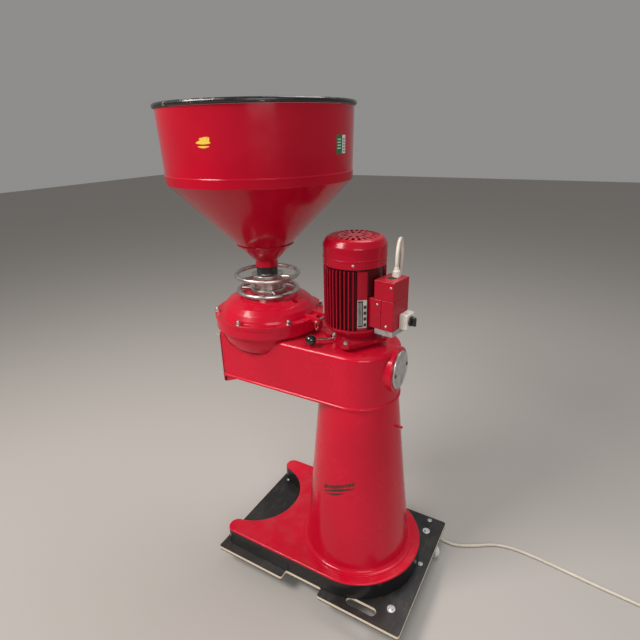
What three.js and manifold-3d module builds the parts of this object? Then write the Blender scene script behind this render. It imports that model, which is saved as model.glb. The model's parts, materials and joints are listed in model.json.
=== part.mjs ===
// Belt-driven disc mill: a cast foot and column on a castor board carry a belt-housing arm.
// The grinding head with its hopper stands over the front end of the arm, the motor over the rear.
// Millimetres, +Z up, front (grinding head) towards -Y, floor at z = 0.
import * as THREE from 'three';
import { mergeVertices } from 'three/addons/utils/BufferGeometryUtils.js';
import Module from 'manifold-3d';

const wasm = await Module();
wasm.setup();

// ---------------------------------------------------------------- driving dimensions
const GAP = 0.3;                // clearance left between pieces that touch

const BOARD_TOP = 80;           // height of the board's upper face over the floor
const BOARD_THICK = 15;
const BOARD_HALF_WIDTH = 245;
const BOARD_FRONT = -430;       // from the column axis
const BOARD_REAR = 250;

const COLUMN_Y = 166.4;         // column axis, so that the whole object is centred on the origin
const HEAD_Y = -318;            // grinding head axis, from the column axis
const MOTOR_Y = -16.2;          // motor axis, from the column axis
const MOTOR_TURN = THREE.MathUtils.degToRad(-9);

const FOOT_HEIGHT = 66;
const FOOT_RADIUS = 215;
const RECESS_RADIUS = 160;      // round bay at the front of the foot, where a bin stands
const RECESS_Y = -427;

const COLUMN_TOP = 634.7;
const ARM_BOTTOM = 635;
const ARM_TOP = 800;
const ARM_HALF_WIDTH = 122;
const ARM_FRONT = -426;
const ARM_WALL = 7;
const STUD_X = 114;             // studs that hold the front plate
const STUD_HEIGHTS = [637, 776];

const BOWL_FLANGE_RADIUS = 170;
const BOWL_FLANGE_BOTTOM = 808;
const BOWL_FLANGE_TOP = 838;
const COVER_TOP = 850;          // upper face of the cover's flange
const COVER_RADIUS = 172;
const NECK_RADIUS = 42;
const NECK_TOP = 955;
const NUT_CIRCLE = 164;
const HINGE_Y = 190;            // from the head axis
const HINGE_Z = 845;
const PIN_RADIUS = 4;

const LOCK_RING_RADIUS = 91.8;
const LOCK_RING_Z = 914.9;
const ADJUST_RING_RADIUS = 96.1;
const ADJUST_RING_Z = 964.2;
const RING_TUBE = 6.8;

const TUBE_RADIUS = 27.5;       // feed tube through the cover's neck
const TUBE_TOP = 1000;
const DISC_RADIUS = 112;

const HOPPER_RIM_RADIUS = 268.4;
const HOPPER_RIM_Z = 1439.6;
const HOPPER_BAND_RADIUS = 263.5;
const HOPPER_BAND_Z = 1246.2;
const HOPPER_CONE_RADIUS = 83.7;
const HOPPER_CONE_Z = 1061.3;
const RIM_TUBE = 6.5;

const SHAFT_RADIUS = 12;
const SPINDLE_RADIUS = 16;
const PULLEY_Z = 662;
const PULLEY_HEIGHT = 30;
const MOTOR_PULLEY_RADIUS = 36;
const DRIVEN_PULLEY_RADIUS = 56;
const GROOVE_DEPTH = 9;
const BELT_HEIGHT = 10;
const BELT_THICK = 8;

const STATOR_BOTTOM = 862;
const STATOR_TOP = 1030;
const FIN_RADIUS = 87.4;
const STATOR_RADIUS = 77;
const FIN_COUNT = 40;
const COWL_RADIUS = 88;
const COWL_BOTTOM = 1035.6;
const COWL_TOP = 1111;

const CLAMP_X = 48;
const CLAMP_Y = -56;
const BALL_RADIUS = 16;

const BOX_HALF_WIDTH = 39.5;
const BOX_BOTTOM = 873;
const BOX_TOP = 1009;
const BOX_BACK = 149;           // from the motor axis
const SEAM_Z = 957;
const SEAM_Y = 112;

const CASTOR_RADIUS = 27;
const CASTOR_HALF_WIDTH = 12;
const CASTOR_TRAIL = 38;
const CASTORS = [
  { name: 'rear_right', x: 172, y: 198, turn: 200 },
  { name: 'rear_left', x: -172, y: 198, turn: 62 },
  { name: 'front_right', x: 172, y: -397, turn: 150 },
  { name: 'front_left', x: -172, y: -397, turn: 35 },
];

// ---------------------------------------------------------------- shape helpers
const metal = (color, roughness, metalness) =>
  new THREE.MeshStandardMaterial({ color, roughness, metalness });
const RED = metal(0xb01326, 0.25, 0.1);
const BLACK = metal(0x161616, 0.5, 0.0);
const STEEL = metal(0xa9a6a0, 0.3, 0.9);
const CAST = metal(0x4a4a4c, 0.6, 0.6);
const ALUMINIUM = metal(0xb5b6b6, 0.35, 0.9);
const RUBBER = metal(0x1b1b1b, 0.9, 0.0);
const WHITE = metal(0xe6e2d6, 0.5, 0.0);
const PLY = metal(0x201d1a, 0.4, 0.0);

// A closed three.js geometry as a manifold solid, with its shared vertices merged.
function solid(geometry) {
  const bare = geometry.clone();
  bare.deleteAttribute('normal');
  bare.deleteAttribute('uv');
  const merged = mergeVertices(bare, 1e-4);
  const index = merged.index.array;
  const kept = [];
  for (let i = 0; i < index.length; i += 3) {
    const [a, b, c] = [index[i], index[i + 1], index[i + 2]];
    if (a !== b && b !== c && c !== a) kept.push(a, b, c);
  }
  return new wasm.Manifold(new wasm.Mesh({
    numProp: 3,
    vertProperties: new Float32Array(merged.attributes.position.array),
    triVerts: new Uint32Array(kept),
  }));
}

// A manifold solid as a three.js geometry.
function geometryOf(manifold) {
  const mesh = manifold.getMesh();
  const geometry = new THREE.BufferGeometry();
  geometry.setAttribute('position', new THREE.BufferAttribute(mesh.vertProperties, 3));
  geometry.setIndex(new THREE.BufferAttribute(mesh.triVerts, 1));
  return geometry;
}

// A closed profile of [radius, z] points turned about Z; points may be given either way round.
function turned(points, segments = 32) {
  let area = 0;
  points.forEach(([r, z], i) => {
    const [nextR, nextZ] = points[(i + 1) % points.length];
    area += r * nextZ - nextR * z;
  });
  const ordered = area > 0 ? [...points] : [...points].reverse();
  ordered.push(ordered[0]);
  const profile = ordered.map(([r, z]) => new THREE.Vector2(r, z));
  return solid(new THREE.LatheGeometry(profile, segments).rotateX(Math.PI / 2));
}

const cylinder = (radius, z0, z1, segments = 20) =>
  solid(new THREE.CylinderGeometry(radius, radius, z1 - z0, segments)
    .rotateX(Math.PI / 2).translate(0, 0, (z0 + z1) / 2));

const ring = (outer, inner, z0, z1, segments = 32) =>
  turned([[inner, z0], [outer, z0], [outer, z1], [inner, z1]], segments);

const block = (x0, x1, y0, y1, z0, z1) =>
  solid(new THREE.BoxGeometry(x1 - x0, y1 - y0, z1 - z0)
    .translate((x0 + x1) / 2, (y0 + y1) / 2, (z0 + z1) / 2));

// A round tube section turned about Z: a wheel rim or a rolled edge.
function hoop(radius, tube, z, segments = 32, sides = 6) {
  const points = [];
  for (let i = 0; i < sides; i += 1) {
    const angle = (2 * Math.PI * i) / sides;
    points.push([radius + tube * Math.cos(angle), z + tube * Math.sin(angle)]);
  }
  return turned(points, segments);
}

const extruded = (shape, z0, z1, curveSegments = 12) =>
  solid(new THREE.ExtrudeGeometry(shape, { depth: z1 - z0, bevelEnabled: false, curveSegments })
    .translate(0, 0, z0));

const polygon = (points) => new THREE.Shape(points.map(([x, y]) => new THREE.Vector2(x, y)));

// A shape drawn in (y, z) and extruded along X.
const slab = (shape, x0, x1, curveSegments = 8) =>
  solid(new THREE.ExtrudeGeometry(shape, { depth: x1 - x0, bevelEnabled: false, curveSegments })
    .applyMatrix4(new THREE.Matrix4().set(0, 0, 1, x0, 1, 0, 0, 0, 0, 1, 0, 0, 0, 0, 0, 1)));

function roundedRectangle(x0, x1, y0, y1, radius) {
  const shape = new THREE.Shape();
  shape.absarc(x1 - radius, y0 + radius, radius, -Math.PI / 2, 0, false);
  shape.absarc(x1 - radius, y1 - radius, radius, 0, Math.PI / 2, false);
  shape.absarc(x0 + radius, y1 - radius, radius, Math.PI / 2, Math.PI, false);
  shape.absarc(x0 + radius, y0 + radius, radius, Math.PI, 1.5 * Math.PI, false);
  return shape;
}

// A straight round bar between two points.
function bar(from, to, radius, segments = 10) {
  const start = new THREE.Vector3(...from);
  const along = new THREE.Vector3(...to).sub(start);
  const geometry = new THREE.CylinderGeometry(radius, radius, along.length(), segments);
  const turn = new THREE.Quaternion()
    .setFromUnitVectors(new THREE.Vector3(0, 1, 0), along.clone().normalize());
  geometry.applyQuaternion(turn);
  geometry.translate(...start.addScaledVector(along, 0.5).toArray());
  return solid(geometry);
}

// ---------------------------------------------------------------- scene graph
const mill = new THREE.Group();
const frame = new THREE.Group();          // column axis, z = 0 on the board's upper face
frame.position.set(0, COLUMN_Y, BOARD_TOP);
mill.add(frame);
const head = new THREE.Group();           // grinding head axis
head.position.y = HEAD_Y;
frame.add(head);
const motor = new THREE.Group();          // motor axis, turned with its terminal box
motor.position.y = MOTOR_Y;
motor.rotation.z = MOTOR_TURN;
frame.add(motor);

function put(group, name, manifold, material) {
  const mesh = new THREE.Mesh(geometryOf(manifold), material);
  mesh.name = name;
  group.add(mesh);
  return mesh;
}

// ---------------------------------------------------------------- board and castors
function board() {
  const corner = 8;
  const notch = { from: -163, to: -27, depth: 30 };
  const slot = { x: 209, y: 112.5, half: 50, radius: 14 };
  const outline = roundedRectangle(-BOARD_HALF_WIDTH, BOARD_HALF_WIDTH, BOARD_FRONT, BOARD_REAR, corner);
  const sheet = extruded(outline, -BOARD_THICK, 0, 4);
  const bay = block(BOARD_HALF_WIDTH - notch.depth, BOARD_HALF_WIDTH + 5,
    notch.from, notch.to, -BOARD_THICK - 1, 1);
  const hand = new THREE.Shape();
  const reach = slot.half - slot.radius;
  hand.absarc(slot.x, slot.y + reach, slot.radius, 0, Math.PI, false);
  hand.absarc(slot.x, slot.y - reach, slot.radius, Math.PI, 2 * Math.PI, false);
  return sheet.subtract(bay).subtract(extruded(hand, -BOARD_THICK - 1, 1, 8));
}
put(frame, 'board', board(), PLY);

// The fork trails along its own +Y; its swivel axis is the group's Z axis.
function castorFork(axleZ) {
  const plateZ = -BOARD_THICK - GAP;
  const cheek = polygon([[-14, plateZ - 5], [14, plateZ - 5], [CASTOR_TRAIL + 7, axleZ - 5],
    [CASTOR_TRAIL - 6, axleZ - 6]]);
  return cylinder(21, plateZ - 6, plateZ, 16)
    .add(slab(cheek, 13.5, 16.5))
    .add(slab(cheek, -16.5, -13.5))
    .add(bar([-18.5, CASTOR_TRAIL, axleZ], [18.5, CASTOR_TRAIL, axleZ], 4, 8));
}

function castorWheel(axleZ) {
  const half = CASTOR_HALF_WIDTH;
  const tread = [[4.6, -half], [CASTOR_RADIUS - 2, -half], [CASTOR_RADIUS, 2 - half],
    [CASTOR_RADIUS, half - 2], [CASTOR_RADIUS - 2, half], [4.6, half]];
  return turned(tread, 16).rotate([0, 90, 0]).translate([0, CASTOR_TRAIL, axleZ]);
}

for (const castor of CASTORS) {
  const axleZ = CASTOR_RADIUS - BOARD_TOP;
  const group = new THREE.Group();
  group.position.set(castor.x, castor.y, 0);
  group.rotation.z = THREE.MathUtils.degToRad(castor.turn - 90);
  frame.add(group);
  put(group, `castor_fork_${castor.name}`, castorFork(axleZ), STEEL);
  put(group, `castor_wheel_${castor.name}`, castorWheel(axleZ), WHITE);
}

// ---------------------------------------------------------------- foot and column
// Round rear end, straight flanks, two rounded horns and a round bay between them.
function footOutline(inset) {
  const flank = FOOT_RADIUS - inset;
  const tip = { x: 185.5, y: -388, radius: FOOT_RADIUS - 185.5 - inset };
  const lean = Math.atan2(tip.y - RECESS_Y, tip.x);
  const shape = new THREE.Shape();
  shape.absarc(0, 0, flank, 0, Math.PI, false);
  shape.absarc(-tip.x, tip.y, tip.radius, Math.PI, 2 * Math.PI - lean, false);
  shape.absarc(0, RECESS_Y, RECESS_RADIUS + inset, Math.PI - lean, lean, true);
  shape.absarc(tip.x, tip.y, tip.radius, Math.PI + lean, 2 * Math.PI, false);
  return shape;
}

function foot() {
  const wall = 9;
  return extruded(footOutline(0), GAP, FOOT_HEIGHT, 7)
    .subtract(extruded(footOutline(wall), -1, FOOT_HEIGHT - wall, 7));
}
put(frame, 'foot', foot(), RED);

function column() {
  const base = FOOT_HEIGHT + GAP;
  return turned([[190, base], [181, base + 4], [175, base + 11], [172.5, base + 22],
    [120.6, COLUMN_TOP], [114.6, COLUMN_TOP], [166, base + 22], [166, base]], 32);
}
put(frame, 'column', column(), RED);

function columnPeg() {
  const z = 543;
  const root = 129.8;
  return bar([0, root, z], [0, root + 14, z], 3.5, 12)
    .add(bar([0, root + 12, z], [0, root + 15, z], 4.5, 12));
}
put(frame, 'column_peg', columnPeg(), RED);

// ---------------------------------------------------------------- arm (belt housing)
function armOutline(halfWidth, front) {
  const shape = new THREE.Shape();
  shape.absarc(0, 0, halfWidth, 0, Math.PI, false);
  shape.lineTo(-halfWidth, front);
  shape.lineTo(halfWidth, front);
  return shape;
}

// Outside of the grinding bowl below its flange, for the bowl itself and for its seat in the arm.
const bowlProfile = (offset) => [[102 + offset, 735 - offset], [127 + offset, 744 - offset],
  [146 + offset, 766], [155 + offset, 808]];

function bowlSeat() {
  const seat = bowlProfile(GAP + 0.2);
  return turned([[0, seat[0][1]], ...seat, [seat[3][0], 812], [0, 812]])
    .translate([0, HEAD_Y, 0]);
}

function armHousing() {
  const lip = 4;
  const lipHeight = 8;
  const cavity = ARM_HALF_WIDTH - ARM_WALL;
  const shell = extruded(armOutline(ARM_HALF_WIDTH, ARM_FRONT), ARM_BOTTOM, ARM_TOP, 9);
  const foot = extruded(armOutline(ARM_HALF_WIDTH + lip, ARM_FRONT), ARM_BOTTOM, ARM_BOTTOM + lipHeight, 9);
  const boss = cylinder(66, 95, 127, 28).rotate([-90, 0, 0]).translate([0, 0, 735]);
  const inside = extruded(armOutline(cavity, ARM_FRONT - 1), ARM_BOTTOM + 8, ARM_TOP - 8, 9);
  const outlet = block(-60, 60, ARM_FRONT - 1, -366, ARM_BOTTOM - 1, ARM_BOTTOM + 9);
  const shaftSlot = cylinder(34, ARM_TOP - 10, ARM_TOP + 1, 24)
    .add(cylinder(34, ARM_TOP - 10, ARM_TOP + 1, 24).translate([0, -8, 0]))
    .add(block(-34, 34, -8, 0, ARM_TOP - 10, ARM_TOP + 1))
    .translate([0, MOTOR_Y, 0]);
  const port = cylinder(46, 90, 130, 24).rotate([-90, 0, 0]).translate([0, 0, 735]);
  return shell.add(foot).add(boss).subtract(inside).subtract(outlet)
    .subtract(shaftSlot).subtract(port).subtract(bowlSeat());
}
put(frame, 'arm_housing', armHousing(), RED);

function armFrontPlate() {
  const back = ARM_FRONT - GAP;
  const plate = block(-ARM_HALF_WIDTH, ARM_HALF_WIDTH, back - 6, back, 613, 792);
  let fitted = plate.subtract(bowlSeat());
  for (const x of [-STUD_X, STUD_X]) {
    for (const z of STUD_HEIGHTS) {
      fitted = fitted.add(bar([x, back - 5, z], [x, back - 15, z], 6.5, 6))
        .add(bar([x, back - 14, z], [x, back - 24, z], 3.5, 8));
    }
  }
  return fitted;
}
put(frame, 'arm_front_plate', armFrontPlate(), RED);

put(frame, 'rear_cover',
  cylinder(56.5, 127.3, 132.5, 40).rotate([-90, 0, 0]).translate([0, 0, 735]), ALUMINIUM);

// ---------------------------------------------------------------- grinding head, fixed pieces
// The lug reaches out under the cover's flange and up around the hinge pin.
function hingeLug() {
  return block(-13, 13, 150, HINGE_Y - 2, 812, 836)
    .add(block(-13, 13, HINGE_Y - 8, HINGE_Y + 8, 828, HINGE_Z))
    .add(bar([-13, HINGE_Y, HINGE_Z], [13, HINGE_Y, HINGE_Z], 8, 14))
    .subtract(bar([-30, HINGE_Y, HINGE_Z], [30, HINGE_Y, HINGE_Z], PIN_RADIUS + GAP, 12));
}

function grindingChamber() {
  const outside = bowlProfile(0);
  const inside = [[146, 800], [138, 771], [121, 751], [98, 743], [46.4, 743]];
  const bowl = turned([[46.4, 735], ...outside, [BOWL_FLANGE_RADIUS, BOWL_FLANGE_BOTTOM],
    [BOWL_FLANGE_RADIUS, BOWL_FLANGE_TOP],
    [147, BOWL_FLANGE_TOP], ...inside]);
  const drop = block(-42, 42, -97, -68, 730, 770);
  return bowl.add(hingeLug()).subtract(drop);
}
put(head, 'grinding_chamber', grindingChamber(), RED);

function productChute() {
  const outer = block(-48, 48, -104, -63, 622, 734.6);
  return outer.subtract(block(-42, 42, -98, -69, 620, 740));
}
put(head, 'product_chute', productChute(), STEEL);

put(head, 'bearing_housing', ring(46, 31.3, 698, 752, 20), CAST);
put(head, 'lower_bearing', ring(31, SPINDLE_RADIUS + GAP, 700, 716, 20), STEEL);
put(head, 'upper_bearing', ring(31, SPINDLE_RADIUS + GAP, 732, 748, 20), STEEL);

// ---------------------------------------------------------------- spindle and rotating disc
put(head, 'spindle', cylinder(SPINDLE_RADIUS, 652, 804, 20), STEEL);
put(head, 'rotating_disc', turned([[SPINDLE_RADIUS + GAP, 757], [28, 757], [28, 790],
  [DISC_RADIUS, 790], [DISC_RADIUS, 806], [SPINDLE_RADIUS + GAP, 806]]), CAST);

// A flat pulley body with one square-bottomed belt groove half way up.
function pulley(radius, bore) {
  const middle = PULLEY_Z + PULLEY_HEIGHT / 2;
  const half = BELT_HEIGHT / 2 + 0.5;
  return turned([[bore, PULLEY_Z], [radius, PULLEY_Z], [radius, middle - half],
    [radius - GROOVE_DEPTH, middle - half], [radius - GROOVE_DEPTH, middle + half],
    [radius, middle + half], [radius, PULLEY_Z + PULLEY_HEIGHT],
    [bore, PULLEY_Z + PULLEY_HEIGHT]], 20);
}
put(head, 'driven_pulley', pulley(DRIVEN_PULLEY_RADIUS, SPINDLE_RADIUS + GAP), CAST);

// ---------------------------------------------------------------- feed tube and fixed disc
put(head, 'fixed_disc', ring(DISC_RADIUS, TUBE_RADIUS + GAP, 809, 823), CAST);
put(head, 'feed_tube', ring(TUBE_RADIUS, 22, 811, TUBE_TOP), STEEL);
put(head, 'feed_collar', ring(32, TUBE_RADIUS + GAP, 967.5, 990), RUBBER);

// ---------------------------------------------------------------- head cover with hinge ears
function hingeEar(x) {
  const ear = new THREE.Shape();
  ear.moveTo(138, COVER_TOP - 2);
  ear.lineTo(143, 861);
  ear.lineTo(165, 858.5);
  ear.absarc(HINGE_Y, HINGE_Z, 10, 2.2, -2.4, true);
  ear.lineTo(173, 841);
  ear.lineTo(165, COVER_TOP - 5);
  return slab(ear, x - 3.5, x + 3.5);
}

function headCover() {
  const dome = turned([[COVER_RADIUS, BOWL_FLANGE_TOP + GAP], [COVER_RADIUS, COVER_TOP],
    [154, COVER_TOP + 0.5], [145, 869], [129, 886], [98, 899.5],
    [NECK_RADIUS, 907], [NECK_RADIUS, NECK_TOP], [28, NECK_TOP], [28, 897],
    [90, 890], [121, 877], [146, BOWL_FLANGE_TOP + GAP]]);
  const pinBore = bar([-30, HINGE_Y, HINGE_Z], [30, HINGE_Y, HINGE_Z], PIN_RADIUS + GAP, 12);
  const airHole = cylinder(9, 860, 920, 16).translate([17, 109, 0]);
  return dome.add(hingeEar(-20)).add(hingeEar(22)).subtract(pinBore).subtract(airHole);
}
put(head, 'head_cover', headCover(), RED);

// The near end of the pin is necked down to carry a pull ring.
const NECK_X = 28.4;
function hingePin() {
  return bar([-26, HINGE_Y, HINGE_Z], [NECK_X - 2.4, HINGE_Y, HINGE_Z], PIN_RADIUS, 12)
    .add(bar([NECK_X - 3, HINGE_Y, HINGE_Z], [NECK_X + 3, HINGE_Y, HINGE_Z], 2, 10))
    .add(bar([NECK_X + 2.4, HINGE_Y, HINGE_Z], [NECK_X + 4.4, HINGE_Y, HINGE_Z], PIN_RADIUS, 12));
}
put(head, 'hinge_pin', hingePin(), STEEL);

// A long oval wire loop on the pin's neck, with a small knob under it.
function pullRing() {
  const half = 5.8;
  const inner = 4.2;
  const upper = HINGE_Z + 2.3 - inner;
  const lower = upper - 15;
  const loop = (radius) => {
    const shape = new THREE.Shape();
    shape.absarc(HINGE_Y, upper, radius, 0, Math.PI, false);
    shape.absarc(HINGE_Y, lower, radius, Math.PI, 2 * Math.PI, false);
    return shape;
  };
  return slab(loop(half), NECK_X - 1.6, NECK_X + 1.6, 6)
    .subtract(slab(loop(inner), NECK_X - 3, NECK_X + 3, 6))
    .add(cylinder(3.2, lower - half - 5, lower - half + 0.8, 10).translate([NECK_X, HINGE_Y, 0]));
}
put(head, 'pull_ring', pullRing(), STEEL);

// Dome-headed nuts round the flange, spaced both ways from the hinge at +Y.
const NUT_ANGLES = [35, 88, 141, -35, -88, -141];
function capNut() {
  const top = COVER_TOP + 0.5 + GAP;
  return cylinder(6.5, top, top + 7, 6).add(turned([[0, top + 6.5], [5.6, top + 6.5],
    [4.6, top + 11], [0, top + 14]], 8));
}
NUT_ANGLES.forEach((fromHinge, i) => {
  const angle = THREE.MathUtils.degToRad(90 + fromHinge);
  const nut = put(head, `cap_nut_${i + 1}`, capNut(), STEEL);
  nut.position.set(NUT_CIRCLE * Math.cos(angle), NUT_CIRCLE * Math.sin(angle), 0);
});

// ---------------------------------------------------------------- handwheels
function spokes(count, inner, outer, z, phase) {
  let all = null;
  for (let i = 0; i < count; i += 1) {
    const angle = phase + (2 * Math.PI * i) / count;
    const [c, s] = [Math.cos(angle), Math.sin(angle)];
    const spoke = bar([inner * c, inner * s, z], [outer * c, outer * s, z], 5, 6);
    all = all ? all.add(spoke) : spoke;
  }
  return all;
}

function lockWheel() {
  const hub = ring(55, NECK_RADIUS + GAP, 908, 921.5);
  return hub.add(hoop(LOCK_RING_RADIUS, RING_TUBE, LOCK_RING_Z))
    .add(spokes(3, 50, LOCK_RING_RADIUS, LOCK_RING_Z, 0.9));
}
put(head, 'lock_wheel', lockWheel(), STEEL);

function adjustingWheel() {
  const drum = turned([[NECK_RADIUS + GAP, 922], [46.3, 922], [46.3, 953], [50, 957], [50, 966],
    [28, 966], [28, NECK_TOP + GAP], [NECK_RADIUS + GAP, NECK_TOP + GAP]]);
  return drum.add(hoop(ADJUST_RING_RADIUS, RING_TUBE, ADJUST_RING_Z))
    .add(spokes(3, 47, ADJUST_RING_RADIUS, 961, -0.4));
}
put(head, 'adjusting_wheel', adjustingWheel(), STEEL);

// ---------------------------------------------------------------- hopper
put(head, 'hopper_funnel', turned([[34.3, 990.3], [34.3, 1009], [87.5, 1060.7], [83.6, 1060.7],
  [31, 1010], [TUBE_RADIUS + 1, 1008], [TUBE_RADIUS + 1, 990.3]], 28), RED);

function hopperShell() {
  const top = HOPPER_RIM_Z - RIM_TUBE - GAP;
  const sheet = 2.4;
  return turned([[HOPPER_CONE_RADIUS, HOPPER_CONE_Z], [HOPPER_BAND_RADIUS, HOPPER_BAND_Z],
    [HOPPER_RIM_RADIUS - 0.2, top], [HOPPER_RIM_RADIUS - sheet - 0.2, top],
    [HOPPER_BAND_RADIUS - sheet, HOPPER_BAND_Z + 1], [HOPPER_CONE_RADIUS - sheet - 1, HOPPER_CONE_Z]], 36);
}
put(head, 'hopper_shell', hopperShell(), RED);
put(head, 'hopper_rim', hoop(HOPPER_RIM_RADIUS, RIM_TUBE, HOPPER_RIM_Z, 36), BLACK);

// ---------------------------------------------------------------- motor
// Fins all round, but a smooth pad for the nameplate and a flat where the terminal box sits.
function statorOutline() {
  const pad = { from: 39, to: 57, radius: 85 };
  const shape = new THREE.Shape();
  const pitch = 360 / FIN_COUNT;
  const points = [];
  for (let i = 0; i < FIN_COUNT; i += 1) {
    for (const [part, tip] of [[-0.28, 0], [-0.2, 1], [0.2, 1], [0.28, 0]]) {
      const degrees = (i + part) * pitch;
      let radius = tip ? FIN_RADIUS : STATOR_RADIUS;
      if (degrees > pad.from && degrees < pad.to) radius = pad.radius;
      if (degrees > 60 && degrees < 120) radius = STATOR_RADIUS + 2;
      const angle = THREE.MathUtils.degToRad(degrees);
      points.push([radius * Math.cos(angle), radius * Math.sin(angle)]);
    }
  }
  shape.setFromPoints(points.map(([x, y]) => new THREE.Vector2(x, y)));
  return shape;
}
put(motor, 'motor_housing', extruded(statorOutline(), STATOR_BOTTOM, STATOR_TOP)
  .subtract(cylinder(42, STATOR_BOTTOM - 1, STATOR_TOP + 1)), RED);

// Clamp stud position in the motor group's own axes.
const clampLocal = new THREE.Vector2(CLAMP_X, CLAMP_Y - MOTOR_Y)
  .rotateAround(new THREE.Vector2(0, 0), -MOTOR_TURN);

function motorFlange() {
  const corner = 97;
  const across = 75.7;
  const plateTurn = 64;
  const square = block(-across, across, -across, across, 812, 824);
  const plate = square.intersect(cylinder(corner, 811, 825, 40)).rotate([0, 0, plateTurn]);
  const shield = turned([[0, 800.5], [60, 800.5], [60, 812], [63, 830], [80, 850],
    [84, STATOR_BOTTOM - GAP], [0, STATOR_BOTTOM - GAP]], 28);
  const bay = polygon([[-2, 0], [11, -13], [70, -60], [70, 60], [11, 13]]);
  const notch = extruded(bay, 795, 850).add(cylinder(13, 795, 850, 16));
  const notchTurn = THREE.MathUtils.radToDeg(Math.atan2(clampLocal.y, clampLocal.x));
  return plate.add(shield)
    .subtract(notch.rotate([0, 0, notchTurn]).translate([clampLocal.x, clampLocal.y, 0]))
    .subtract(cylinder(SHAFT_RADIUS + 1, 790, STATOR_BOTTOM, 20));
}
put(motor, 'motor_flange', motorFlange(), RED);

function fanCowl() {
  const wall = 2;
  const outside = [[COWL_RADIUS, COWL_BOTTOM], [COWL_RADIUS, 1088], [85, 1098], [77, 1107], [66, COWL_TOP],
    [0, COWL_TOP]];
  const inside = [[0, COWL_TOP - wall], [65, COWL_TOP - wall], [75.5, 1105], [83, 1097],
    [COWL_RADIUS - wall, 1088], [COWL_RADIUS - wall, COWL_BOTTOM]];
  let cowl = turned([...outside, ...inside], 24);
  const slots = 8;
  for (let i = 0; i < slots; i += 1) {
    const slot = block(36, 61, -4, 4, COWL_TOP - 5, COWL_TOP + 1).rotate([0, 0, (360 * i) / slots]);
    cowl = cowl.subtract(slot);
  }
  return cowl;
}
put(motor, 'fan_cowl', fanCowl(), RED);

put(motor, 'motor_rotor', cylinder(SHAFT_RADIUS, 655, 1068)
  .add(cylinder(41.4, 880, 1010)), STEEL);
put(motor, 'motor_pulley', pulley(MOTOR_PULLEY_RADIUS, SHAFT_RADIUS + GAP), CAST);

function motorFan() {
  const blades = 4;
  let fan = ring(20, SHAFT_RADIUS + GAP, 1039, 1066, 16).add(ring(72, 16, 1039, 1042, 20));
  for (let i = 0; i < blades; i += 1) {
    fan = fan.add(block(17, 71, -1.2, 1.2, 1041, 1068).rotate([0, 0, (360 * i) / blades]));
  }
  return fan;
}
put(motor, 'motor_fan', motorFan(), BLACK);

// ---------------------------------------------------------------- drive belt
function beltLoop(offset) {
  const span = MOTOR_Y - HEAD_Y;
  const small = MOTOR_PULLEY_RADIUS - GROOVE_DEPTH + GAP + offset;
  const large = DRIVEN_PULLEY_RADIUS - GROOVE_DEPTH + GAP + offset;
  const lean = Math.asin((large - small) / span);
  const shape = new THREE.Shape();
  shape.absarc(0, MOTOR_Y, small, lean, Math.PI - lean, false);
  shape.absarc(0, HEAD_Y, large, Math.PI - lean, 2 * Math.PI + lean, false);
  return shape;
}
function belt() {
  const z0 = PULLEY_Z + (PULLEY_HEIGHT - BELT_HEIGHT) / 2;
  return extruded(beltLoop(BELT_THICK), z0, z0 + BELT_HEIGHT, 8)
    .subtract(extruded(beltLoop(0), z0 - 1, z0 + BELT_HEIGHT + 1, 8));
}
put(frame, 'drive_belt', belt(), RUBBER);

// ---------------------------------------------------------------- clamp lever
const BALL_AT = [104, -103, 822];
function clampLever() {
  return cylinder(8.5, ARM_TOP + 0.6, 832, 16).translate([CLAMP_X, CLAMP_Y, 0])
    .add(cylinder(6.5, 831, 839, 6).translate([CLAMP_X, CLAMP_Y, 0]))
    .add(bar([CLAMP_X, CLAMP_Y, 814], BALL_AT, 3.5));
}
put(frame, 'clamp_lever', clampLever(), STEEL);
put(frame, 'clamp_ball', solid(new THREE.SphereGeometry(BALL_RADIUS, 12, 8)).translate(BALL_AT)
  .subtract(bar([CLAMP_X, CLAMP_Y, 814], BALL_AT, 3.9)
    .add(cylinder(4.2, -4.2, 4.2, 8).translate(BALL_AT))), BLACK);

// ---------------------------------------------------------------- electrical boxes
function terminalBox() {
  const outer = block(-BOX_HALF_WIDTH, BOX_HALF_WIDTH, 60, SEAM_Y - GAP, BOX_BOTTOM, SEAM_Z - GAP);
  const inside = block(-BOX_HALF_WIDTH + 4, BOX_HALF_WIDTH - 4, 84, SEAM_Y + 1, BOX_BOTTOM + 4, SEAM_Z - 4);
  return outer.subtract(cylinder(STATOR_RADIUS + 3.2, 860, 1040, 48)).subtract(inside);
}
put(motor, 'terminal_box', terminalBox(), RED);

function controlBox() {
  const wall = 2.5;
  const profile = (inset, open) => polygon([[SEAM_Y - open, BOX_BOTTOM + inset],
    [BOX_BACK - inset, BOX_BOTTOM + inset], [BOX_BACK - inset, BOX_TOP - inset],
    [89.5 + inset, BOX_TOP - inset], [89.5 + inset, SEAM_Z + inset], [SEAM_Y - open, SEAM_Z + inset]]);
  return slab(profile(0, 0), -BOX_HALF_WIDTH, BOX_HALF_WIDTH)
    .subtract(slab(profile(wall, 1), wall - BOX_HALF_WIDTH, BOX_HALF_WIDTH - wall));
}
put(motor, 'control_box', controlBox(), RED);

put(motor, 'box_tray', block(-37, 37, 92, 147, 857, BOX_BOTTOM - GAP)
  .subtract(block(-35, 35, 94, 145, 859, BOX_BOTTOM)), STEEL);

const SWITCH = { x0: -36, x1: 7, depth: 23.5, z0: 873, z1: 916 };
put(motor, 'switch_box', block(SWITCH.x0, SWITCH.x1, BOX_BACK + GAP, BOX_BACK + SWITCH.depth,
  SWITCH.z0, SWITCH.z1), WHITE);

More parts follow.
